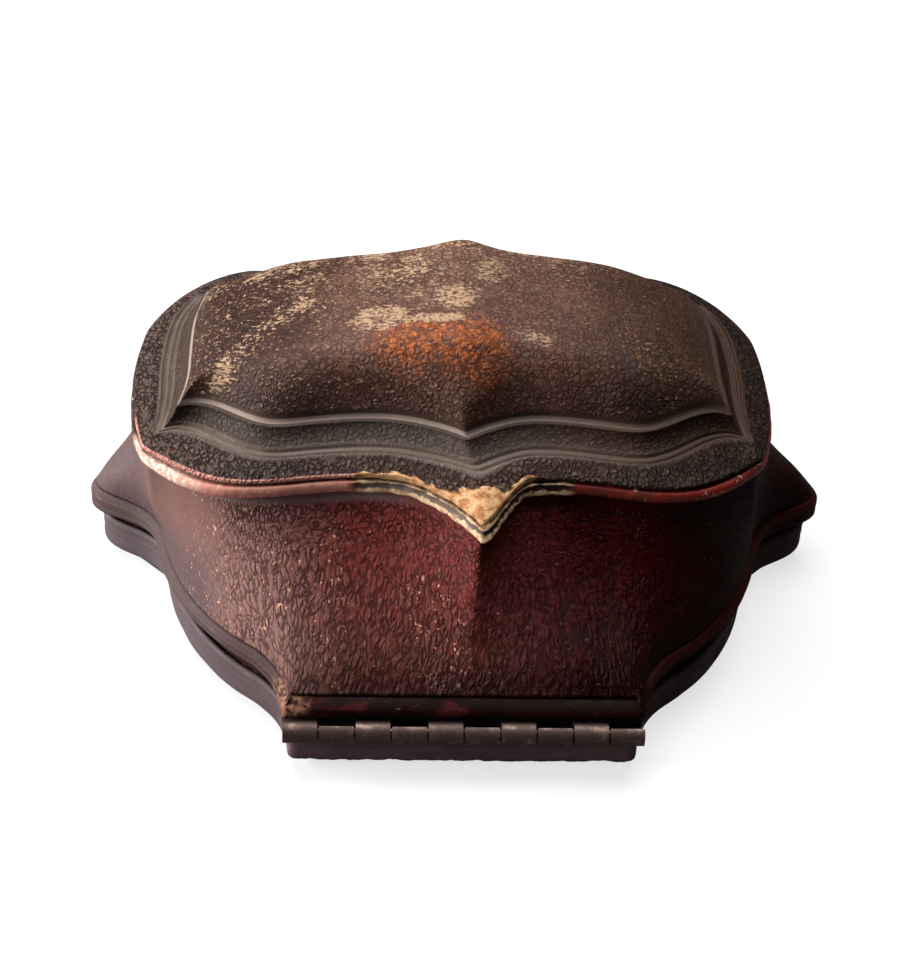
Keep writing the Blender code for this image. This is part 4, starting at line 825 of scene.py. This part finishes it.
# Rim band of the lid, with two tooled lines
band = through([
    ring(CREASE_LINE, CREASE),
    ring(inset(RIM, 0.36, 1.12), CREASE - 0.43),
    ring(inset(RIM, 0.05, 0.35), CREASE - 0.95),
    ring(RIM, CREASE - 1.6),
    ring(inset(RIM, 0, 0.1), (EDGES + CREASE) / 2 - 0.4, 10.1),
    ring(inset(RIM, 0, 0.45), EDGES + 0.5, 9.75),
    ring(inset(RIM, 0.32, HINGE_INSET), EDGES),
], 6)
grooves = tooled_lines(band, (8.5, 24.0), 0.13, 1.3)
band = bend_out(band, [groove - wobble(one, 7, 5.5) * 0.06 for groove, one in zip(grooves, band)])
band_back = [ring(inset(RIM, 1.12, HINGE_INSET + 0.68), EDGES), ring(inset(CREASE_LINE, 0.48), CREASE)]
band_piece = hoop("rim_band_skin", band + band_back, BAND_LEATHER, "lid")
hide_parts("lid_rim_band")

# Bead under the plateau: a roll, torn open to the board either side of the near point
NEAR_SIDE = LIP[:, 1] < -10
bead_middle, bead_half = (BEAD_FOOT + BEAD_TOP) / 2, (BEAD_TOP - BEAD_FOOT) / 2
torn_zone = smoothstep((16.2 - np.abs(LIP[:, 0] + 0.4)) / 1.2) * NEAR_SIDE
pink_zone = smoothstep((-15 - LIP[:, 0]) / 2) * (LIP[:, 1] < -12)
bead, bead_zones = [], []
for fall in np.linspace(0, 1, 15):
    turn = math.radians(80 + 200 * fall)
    hollow = 0.10 * bell((fall - 0.42) / 0.17) - 0.05 * bell((fall - 0.85) / 0.15)
    share = 0.08 + 0.10 * math.cos(turn) + torn_zone * hollow - 0.03 * pink_zone
    bead.append(ring(between(LIP, TOOLED, share), bead_middle + bead_half * math.sin(turn)))
    bead_zones.append(np.column_stack((np.full(COUNT, fall), torn_zone, pink_zone)))
rough = [wobble(one, 1.5, 2.2, 3) * (0.05 + 0.20 * torn_zone) + wobble(one, 5, 7.2) * 0.08 for one in bead]
bead = bend_out(bead, [-v for v in rough])
bead += [ring(between(LIP, TOOLED, 0.38), height) for height in (BEAD_FOOT, BEAD_TOP)]
bead_zones = np.concatenate(bead_zones + [np.zeros((2 * COUNT, 3))])
bead_piece = hoop("bead_roll", bead, BEAD_LEATHER, "lid", bead_zones)
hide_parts("lid_bead")

# Plateau: border, double tooled line, cove, raised fillet and crown
LINES = (LIP, TOOLED, FILLET, SHOULDER, np.zeros((COUNT, 2)) + (PLATEAU_SHIFT, 0))
PLACE_KNOTS = (0.14, 0.52, 0.84, 1.14, 1.45, 1.72, 1.90, 2.00, 2.10, 2.25, 2.50, 2.75, 3.00, 3.38, 3.72, 4.00)
STEP_HEIGHTS = (0.0, 0.63, 0.9, 0.9, 1.5, 2.5, 3.74, 4.3)
CROWN_SHARES = (0.16, 0.41, 0.69, 0.84, 0.915, 0.98, 0.997, 1.0)
CROWN_PLACES = (2.10, 2.25, 2.50, 2.75, 3.00)
CROWN_ROUNDS = (0, 0, 2, 4, 7)
PLACE_HEIGHTS = [PANEL_EDGE + height for height in STEP_HEIGHTS]
PLACE_HEIGHTS += [FILLET_HEIGHT + CROWN_RISE * share for share in CROWN_SHARES]


def across(place):
    """Plan points at a place: 0 lip, 1 tooled line, 2 fillet, 3 shoulder, 4 middle."""
    k = min(int(place), 3)
    times = float(np.interp(place, CROWN_PLACES, CROWN_ROUNDS))
    if k == 3:
        return between(rounded(LINES[k], times, 0), LINES[k + 1], place - k)
    return rounded(between(LINES[k], LINES[k + 1], place - k), times, 0)


def heights_at(place, points):
    x, y = points[:, 0], points[:, 1]
    dome = CROWN_DOME * (1 - (np.abs(x) / DOME_HALF_WIDTH) ** 1.5)
    peak = 1.4 * bell((x + 0.3) / 4.2) * smoothstep((y - 8) / 7)
    crown = dome + CROWN_RIDGE * bell(x / 5) + peak
    return float(monotone(PLACE_KNOTS, PLACE_HEIGHTS, place)) + crown * smoothstep(place - 2)


def plain(*places):
    return [(place, 0.0, 0.0) for place in places]


# Place, lift in millimetres and how smooth the leather is rubbed there
SECTION = plain(*np.linspace(0.12, 0.80, 26)) + [
    (0.83, -0.06, 0.2), (0.865, -0.20, 0.5), (0.90, -0.28, 0.6), (0.935, -0.10, 0.7), (0.965, 0.16, 1.0),
    (1.00, 0.24, 1.0), (1.02, 0.16, 1.0), (1.05, -0.06, 0.8), (1.08, -0.18, 0.7), (1.13, -0.20, 0.7),
    (1.18, -0.16, 0.7), (1.215, 0.0, 0.8), (1.245, 0.22, 1.0), (1.275, 0.30, 1.0), (1.305, 0.20, 0.9),
    (1.335, 0.0, 0.7), (1.38, -0.08, 0.4), (1.44, 0.0, 0.1),
    *plain(1.50, 1.56, 1.62, 1.68, 1.74, 1.80, 1.845),
    (1.870, -0.10, 0.2), (1.890, -0.20, 0.6), (1.910, 0.02, 1.0), (1.935, 0.30, 1.0), (1.970, 0.44, 1.0),
    (2.010, 0.42, 1.0), (2.040, 0.26, 1.0), (2.062, 0.08, 0.8), (2.080, 0.0, 0.2),
    *plain(2.11, 2.14, *np.linspace(2.18, 2.97, 20), *np.linspace(3.02, 3.92, 22)),
]


def inside(points, corners):
    """Distance inside a three-cornered patch, in millimetres."""
    depth = np.full(len(points), 1e9)
    for a, b in zip(corners, corners[1:] + corners[:1]):
        a, b = np.array(a), np.array(b)
        way = (b - a) / np.linalg.norm(b - a)
        depth = np.minimum(depth, (points[:, :2] - a) @ np.array((way[1], -way[0])))
    return depth


TORN_PATCH = [(-2.9, -28.9), (8.4, -28.0), (2.0, -37.4)]
EDGE_ROLL = ((0.15, 0.80), (0.10, 0.62), (0.085, 0.35), (0.10, 0.10))
AT_CORNER = bell((STEPS - 11) / 0.9)
edge_bare = smoothstep((LIP[:, 0] + 16.5) / 1.5) * smoothstep((10.5 - LIP[:, 0]) / 1.5) * NEAR_SIDE
rings, lifts, zone_rows = [], [], []
for share, drop in EDGE_ROLL:
    one = ring(between(LIP, TOOLED, share), PANEL_EDGE - drop)
    rings.append(one)
    lifts.append(wobble(one, 1.5, 4.1, 3) * 0.15 * edge_bare)
    zone_rows.append(np.column_stack((np.full(COUNT, 0.03), np.zeros(COUNT), edge_bare)))
for place, lift, rubbed in SECTION:
    points = across(place)
    one = ring(points, heights_at(place, points))
    bare = np.zeros(COUNT)
    if place < 0.95:
        torn = smoothstep((inside(one, TORN_PATCH) + wobble(one, 1.6, 2.9, 3) * 0.9) / 0.4)
        worn = smoothstep((0.20 - place + wobble(one, 1.2, 6.1, 3) * 0.12) / 0.03)
        bare = np.maximum(torn, edge_bare * worn)
    soft = wobble(one, 13, 1.3) * 0.20 + wobble(one, 5, 8.8) * 0.06
    rings.append(one)
    lifts.append(lift * (1 - 0.7 * AT_CORNER) * (1 - bare) - 0.38 * bare + soft * min(1, (place - 0.1) / 0.3))
    zone_rows.append(np.column_stack((np.full(COUNT, place / 4), np.full(COUNT, rubbed), bare)))
raised = bend_out(rings, [-v for v in lifts])
under = []
for place in (0.2, 0.6, 1.1, 1.5, 1.8, 1.9, 2.0, 2.05, 2.1, 2.15, 2.2, 2.3, 2.4, 2.55, 2.7, 3.0, 3.4, 3.8):
    steep = 1.85 < place < 2.6
    points = across(place + 0.09 * steep)
    under.append(ring(points, heights_at(place, points) - 0.75 - 0.3 * steep))
plateau_zones = np.concatenate(zone_rows[::-1] + [np.zeros((len(under) * COUNT, 3)), ((1, 0, 0), (0, 0, 0))])
panel_piece = capped("plateau_skin", raised[::-1] + under, TOP_LEATHER, "lid", plateau_zones)
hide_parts("lid_top_panel")

# Leather of the tray, frayed along its lower edge at the hinge
tray = through([
    ring(inset(BASE, 0.30, HINGE_INSET), BASE_TOP),
    ring(inset(BASE, 0.05, 0.45), BASE_TOP - 0.30, 6.35),
    ring(BASE, BASE_TOP - 0.60, AXIS.z - RELIEF + 0.6),
    ring(BASE, 4.3),
    ring(BASE, 2.2),
    ring(inset(BASE, 0.25), 1.55),
    ring(inset(BASE, 0.75), 1.0),
    ring(inset(BASE, 1.5), 0.72),
], 5)
marks = tooled_lines(tray, (12.0, 15.5), 0.12, 0.9)
for k, one in enumerate(tray):
    marks[k] -= wobble(one, 6, 9.1) * 0.08
    marks[k] -= wobble(one, 1.4, 4.4, 3) * 0.20 * smoothstep((2.6 - one[:, 2]) / 1.6) * ON_HINGE
tray_back = [
    ring(between(BASE, INNER, 0.6), 0.72),
    ring(between(BASE, INNER, 0.6), 1.28),
    ring(inset(BASE, 1.5), 1.28),
    ring(inset(BASE, 0.88), 2.2),
    ring(inset(BASE, 0.88, HINGE_INSET + 0.64), BASE_TOP),
]
base_piece = hoop("tray_skin", bend_out(tray, marks) + tray_back, BASE_LEATHER, "base")
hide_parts("base_leather")

# Tongue
TONGUE = (
    (0.3, 3.7), (0.3, 9.7), (0.42, 10.0), (0.7, 10.2), (1.1, 10.2), (1.4, 10.05), (1.5, 9.8), (1.5, 3.7),
)
tongue_piece = hoop("tongue_skin", [ring(inset(INNER, d), height) for d, height in TONGUE], PAPER, "base")
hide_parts("base_tongue")

# Hinge leaves: flat strips with every second knuckle rolled round the pin
KNUCKLES = 10
KNUCKLE_GAP = 0.3
LEAF_THICKNESS = 0.4
ROLLED_THICKNESS = 0.6


def leaf(name, first, low_face, side, degrees, body):
    faces_at = (low_face, low_face + LEAF_THICKNESS)[::-side]
    front = AXIS.y + BARREL + 0.36
    outer, inner = [[(front + 3.5, height), (front, height)] for height in faces_at]
    start = math.asin((faces_at[0] - AXIS.z) / BARREL)
    for step in range(41):
        angle = start + side * math.radians(degrees) * step / 40
        way = Vector((math.cos(angle), math.sin(angle)))
        outer.append(tuple(AXIS.yz + way * BARREL))
        inner.append(tuple(AXIS.yz + way * (BARREL - ROLLED_THICKNESS)))
    points, faces = [], []

    def block(left, right, loop):
        """An extrusion along X, closed at both ends."""
        base, size = len(points), len(loop)
        for x in (left, left + 0.08, right - 0.08, right):
            points.extend((x, *p) for p in loop)
        faces.extend((grid_faces(4, size, False) + base).tolist())
        for end in (base, base + 3 * size):
            for k in range(size // 2 - 1):
                faces.append((end + k, end + k + 1, end + size - 2 - k, end + size - 1 - k))

    pitch = 2 * HINGE_HALF / KNUCKLES
    lefts = [pitch * k - HINGE_HALF + KNUCKLE_GAP / 2 for k in range(first, KNUCKLES, 2)]
    rights = [left + pitch - KNUCKLE_GAP for left in lefts]
    for left, right in zip(lefts, rights):
        block(left, right, outer + inner[::-1])
    for left, right in zip([-HINGE_HALF] + rights, lefts + [HINGE_HALF]):
        block(left - 0.02, right + 0.02, outer[:2] + inner[1::-1])
    made = make(name, points, faces, BRASS, body)
    made.data.set_sharp_from_angle(angle=math.radians(40))
    return made


base_leaf = leaf("base_leaf_rolled", 1, 7.3, -1, 230, "base")
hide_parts("hinge_base_leaf")
lid_leaf = leaf("lid_leaf_rolled", 0, 8.2, 1, 318, "lid")
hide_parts("hinge_lid_leaf")

# Button and bezel, as pairs of radius and distance outwards
BUTTON = (
    (0.8, -3.3), (0.8, 0), (1.5, 0.0), (1.65, 0.12), (1.65, 1.2), (1.58, 1.45), (1.4, 1.62), (1.1, 1.74),
    (0.6, 1.80), (0.1, 1.81),
)
BEZEL = ((1.95, 0.3), (2.40, 0.3), (2.40, 0.45), (2.34, 0.62), (2.22, 0.74), (2.08, 0.80), (1.95, 0.78))
BUTTON_CENTRE = (0, HALF_DEPTH, 4.225)
button = turned("button_turned", BUTTON, BUTTON_CENTRE, (0, 1, 0), 48, CLASP_BRASS, "button")
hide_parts("push_button")
bezel = turned("bezel_turned", BEZEL, BUTTON_CENTRE, (0, 1, 0), 48, CLASP_BRASS, "base", tube=True)
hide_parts("clasp_bezel")


# Soft inside: each pad starts a little small and swells against its own cover
def vectors(holder, name):
    flat = np.empty(len(holder) * 3)
    holder.foreach_get(name, flat)
    return flat.reshape(-1, 3)


def swell(pad, voxel, cap, fixed):
    """Cloth under pressure, without gravity; the fixed points hold and none moves beyond the cap."""
    scene = bpy.context.scene
    with bpy.context.temp_override(object=pad, active_object=pad, selected_objects=[pad]):
        remesh = pad.modifiers.new("close_mesh", "REMESH")
        remesh.mode = "VOXEL"
        remesh.voxel_size = voxel * MM
        bpy.ops.object.modifier_apply(modifier=remesh.name)
        mesh = pad.data
        start = vectors(mesh.vertices, "co")
        firm = fixed(start / MM)
        start -= vectors(mesh.vertex_normals, "vector") * np.where(firm, 0, 0.8 * cap * MM)[:, None]
        mesh.vertices.foreach_set("co", start.ravel())
        held = pad.vertex_groups.new(name="held")
        held.add([int(i) for i in np.flatnonzero(firm)], 1.0, "REPLACE")
        cloth = pad.modifiers.new("swelling", "CLOTH")
        settings = cloth.settings
        for key, value in {
            "quality": 5, "mass": 0.02, "tension_stiffness": 8, "compression_stiffness": 8,
            "shear_stiffness": 4, "bending_stiffness": 0.2, "use_pressure": True,
            "uniform_pressure_force": 3.0, "vertex_group_mass": "held",
        }.items():
            setattr(settings, key, value)
        settings.effector_weights.gravity = 0
        cloth.point_cache.frame_start, cloth.point_cache.frame_end = 1, 20
        for step in range(1, 21):
            scene.frame_set(step)
        swollen = pad.evaluated_get(bpy.context.evaluated_depsgraph_get())
        move = vectors(swollen.data.vertices, "co") - start
        length = np.linalg.norm(move, axis=1, keepdims=True)
        move *= np.minimum(1, cap * MM / np.maximum(length, 1e-12))
        pad.modifiers.remove(cloth)
        mesh.vertices.foreach_set("co", (start + move).ravel())
        finer = pad.modifiers.new("finer", "SUBSURF")
        finer.levels = finer.render_levels = 1
        bpy.ops.object.modifier_apply(modifier=finer.name)
        scene.frame_set(1)
    mesh.shade_smooth()
    mesh.update()


bed_edge = inset(INNER, 1.8)
bed_rings = through([
    ring(bed_edge, 3.7), ring(bed_edge, 6.2), ring(inset(bed_edge, 0.25), 7.0),
    ring(inset(bed_edge, 0.8), 7.5), ring(inset(bed_edge, 1.8), 7.72),
], 4)
bed_rings += [ring(bed_edge * s, 7.74) for s in np.linspace(0.93, 0.1, 24)]
soft_bed = [wobble(one, 6, 2.7) * 0.10 * (one[:, 2] > 7.3) for one in bed_rings]
bed_piece = capped("velvet_bed_pad", bend_out(bed_rings, soft_bed), VELVET, "base")
swell(bed_piece, 0.9, 0.5, lambda at: (at[:, 2] < 6.6) | (np.hypot(at[:, 0] / 26.5, at[:, 1] / 20.0) < 1))
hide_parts("velvet_bed")

# The saddle's shares of its height and of its half sizes
SADDLE = (
    (0.0, 0.97), (0.08, 1.0), (0.40, 0.95), (0.72, 0.96), (0.86, 0.91), (0.95, 0.78), (0.99, 0.5),
    (1.0, 0.05),
)
turns = np.linspace(0, 2 * math.pi, 241)[:-1]
oval = np.column_stack((25 * np.cos(turns), 18.5 * np.sin(turns)))
saddle_rings = through([np.column_stack((oval * w, np.full(240, 8.0 + 16 * rise))) for rise, w in SADDLE], 7)
saddle_soft = [wobble(one, 5, 6.1) * 0.12 for one in saddle_rings]
saddle_piece = capped("velvet_saddle_pad", bend_out(saddle_rings, saddle_soft), VELVET, "base")
swell(saddle_piece, 1.0, 0.6, lambda at: at[:, 2] < 9.0)
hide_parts("bangle_saddle")

# Gathered lining of the lid's wall
CAVITY_TOP = between(TOOLED, FILLET, 0.3)
CAVITY_FOOT = inset(INNER, -0.4)
SHELL_THICKNESS = 1.52
PLEATS = 110
laps = np.cumsum(np.linalg.norm(np.roll(INNER, -1, 0) - INNER, axis=1))
laps = 2 * math.pi * (laps / laps[-1])
lining_front, lining_rear = [], []
for k in range(0, 64, 3):
    t = LEVELS[k] * 2 * math.pi
    line = flared(CAVITY_TOP, CAVITY_FOOT, k)
    height = LEVEL_HEIGHTS[k] - SHELL_THICKNESS - 0.3
    wander = 0.9 * np.sin(7 * laps + t * 0.6) + 0.5 * np.sin(17 * laps - t)
    depth = 0.30 + 0.62 * (0.5 + 0.5 * np.sin(PLEATS * laps + wander)) ** 1.5
    lining_rear.append(ring(inset(line, 0.10 + depth), height))
    lining_front.append(ring(inset(line, 0.35 + depth), height))
lining_piece = hoop("satin_lining", lining_rear[::-1] + lining_front, SATIN, "lid")
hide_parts("lid_side_lining")

# Padded cushion under the top, gathered round its hem
CEILING_FOOT = WALL_TOP - SHELL_THICKNESS
CEILING_RISE = FILLET_HEIGHT + CROWN_RISE * 0.6 - CEILING_FOOT
GATHERS = 96
puff_edge = between(FILLET, SHOULDER, 0.1)
puff_rings = through([
    ring(SHOULDER * 0.05, CEILING_FOOT - 3.1),
    ring(SHOULDER * 0.5, CEILING_FOOT - 3.0),
    ring(SHOULDER, CEILING_FOOT - 2.55),
    ring(between(FILLET, SHOULDER, 0.4), CEILING_FOOT - 1.3),
    ring(puff_edge, CEILING_FOOT + 0.35),
    ring(puff_edge, CEILING_FOOT + CEILING_RISE * 0.18),
    ring(between(FILLET, SHOULDER, 0.5), CEILING_FOOT + CEILING_RISE * 0.42),
    ring(SHOULDER, CEILING_FOOT + CEILING_RISE * 0.72),
], 8)
gather = 0.22 * np.sin(GATHERS * laps + 2.5 * np.sin(9 * laps))
gathers = []
for k, one in enumerate(puff_rings):
    gathers.append(-(bell((k - 32) / 9) * gather + wobble(one, 7, 3.9) * 0.25 * (k < 28)))
puff_piece = capped("satin_puff", bend_out(puff_rings, gathers), SATIN, "lid")
swell(puff_piece, 0.8, 0.7, lambda at: at[:, 2] > CEILING_FOOT + 0.2)
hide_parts("lid_puff")

# Carried-over solids
for finish, names in (
    (PAPER, ["base_underpaper"]),
    (WOOD, ["base_board", "lid_shell"]),
    (BRASS, ["hinge_pin"] + [f"hinge_{side}_nail_{n}" for side in ("base", "lid") for n in (1, 2, 3)]),
    (CLASP_BRASS, ["clasp_housing", "lid_strike", "strike_nail_1", "strike_nail_2"]),
    (STEEL, ["catch_lever", "catch_axle"]),
):
    for name in names:
        NODES[name].data.materials.clear()
        NODES[name].data.materials.append(finish)


def show(tree, seen, bounced, output):
    """The camera sees one shader, and light bounces off another."""
    to_camera = add_node(tree, "ShaderNodeLightPath")["Is Camera Ray"]
    blend = add_node(tree, "ShaderNodeMixShader", {0: to_camera, 1: bounced, 2: seen})
    plug(tree, tree.nodes[output].inputs["Surface"], blend[0])


# Floor, which fades to white but keeps the shadow
floor_mesh = bpy.data.meshes.new("floor")
floor_mesh.from_pydata([(x, y, -0.0001) for x, y in ((-4, -4), (4, -4), (4, 4), (-4, 4))], [], [(0, 1, 2, 3)])
floor = add_object("floor", floor_mesh)
paint = Graph("pale_floor")
pale = paint.tree.nodes["Principled BSDF"]
for key, value in (("Base Color", (0.90, 0.90, 0.90)), ("Roughness", 0.9), ("Specular IOR Level", 0.1)):
    plug(paint.tree, pale.inputs[key], value)
away = paint.node("ShaderNodeVectorMath", {0: paint.at}, operation="LENGTH")["Value"]
fade = paint.node("ShaderNodeMapRange", enumerate((away, 0.16, 0.60, 0.70, 1.0)))[0]
glow = paint.node("ShaderNodeEmission", {"Strength": 1.0})[0]
seen = paint.node("ShaderNodeMixShader", {0: fade, 1: pale.outputs[0], 2: glow})[0]
bounced = paint.node("ShaderNodeBsdfDiffuse", {"Color": (0.16, 0.14, 0.135)})[0]
show(paint.tree, seen, bounced, "Material Output")
floor_mesh.materials.append(paint.material)

# World: white to the camera, a soft grey as light
world = bpy.data.worlds.new("studio")
bpy.context.scene.world = world
world.use_nodes = True
lit = world.node_tree.nodes["Background"]
plug(world.node_tree, lit.inputs["Color"], (1.0, 0.98, 0.96))
plug(world.node_tree, lit.inputs["Strength"], 0.05)
white = add_node(world.node_tree, "ShaderNodeBackground", {"Color": (1.0, 1.0, 1.0), "Strength": 1.0})[0]
show(world.node_tree, white, lit.outputs[0], "World Output")


def lamp(name, place, aim, size, energy, colour=(1, 1, 1)):
    data = bpy.data.lights.new(name, "AREA")
    data.shape = "RECTANGLE"
    data.size, data.size_y = size
    data.energy = energy
    data.color = colour
    made = add_object(name, data)
    made.location = place
    made.rotation_mode = "QUATERNION"
    made.rotation_quaternion = (Vector(aim) - Vector(place)).to_track_quat("-Z", "Y")


lamp("window", (-0.64, 0.00, 0.20), (0, 0, 0.025), (0.50, 0.36), 13.0, (1.0, 0.965, 0.95))
lamp("ceiling", (-0.02, 0.14, 0.62), (0, 0, 0.02), (0.6, 0.5), 6.5)

# Camera at the photograph's angle
PICTURE = (918, 957)
ELEVATION, AZIMUTH, ROLL = math.radians(40), math.radians(-3.1), math.radians(2.76)
DISTANCE = 0.350
FOCAL = 350 * 6.336
TARGET = Vector((0, -0.003, 0.008))
TARGET_PIXEL = (456.2, 518.0)
level = math.cos(ELEVATION)
back_way = Vector((math.sin(AZIMUTH) * level, -math.cos(AZIMUTH) * level, math.sin(ELEVATION)))
camera_data = bpy.data.cameras.new("camera")
camera_data.sensor_width = 36
camera_data.lens = FOCAL / PICTURE[1] * 36
camera_data.clip_start = 0.01
camera = add_object("camera", camera_data)
camera.location = TARGET + back_way * DISTANCE
rolled = (-back_way).to_track_quat("-Z", "Y") @ Quaternion((0, 0, 1), ROLL)
sight = Vector(((TARGET_PIXEL[0] - PICTURE[0] / 2) / FOCAL, -(TARGET_PIXEL[1] - PICTURE[1] / 2) / FOCAL, -1))
camera.rotation_mode = "QUATERNION"
camera.rotation_quaternion = rolled @ Vector((0, 0, -1)).rotation_difference(sight).inverted()
bpy.context.scene.camera = camera
bpy.context.scene.view_settings.view_transform = "Standard"
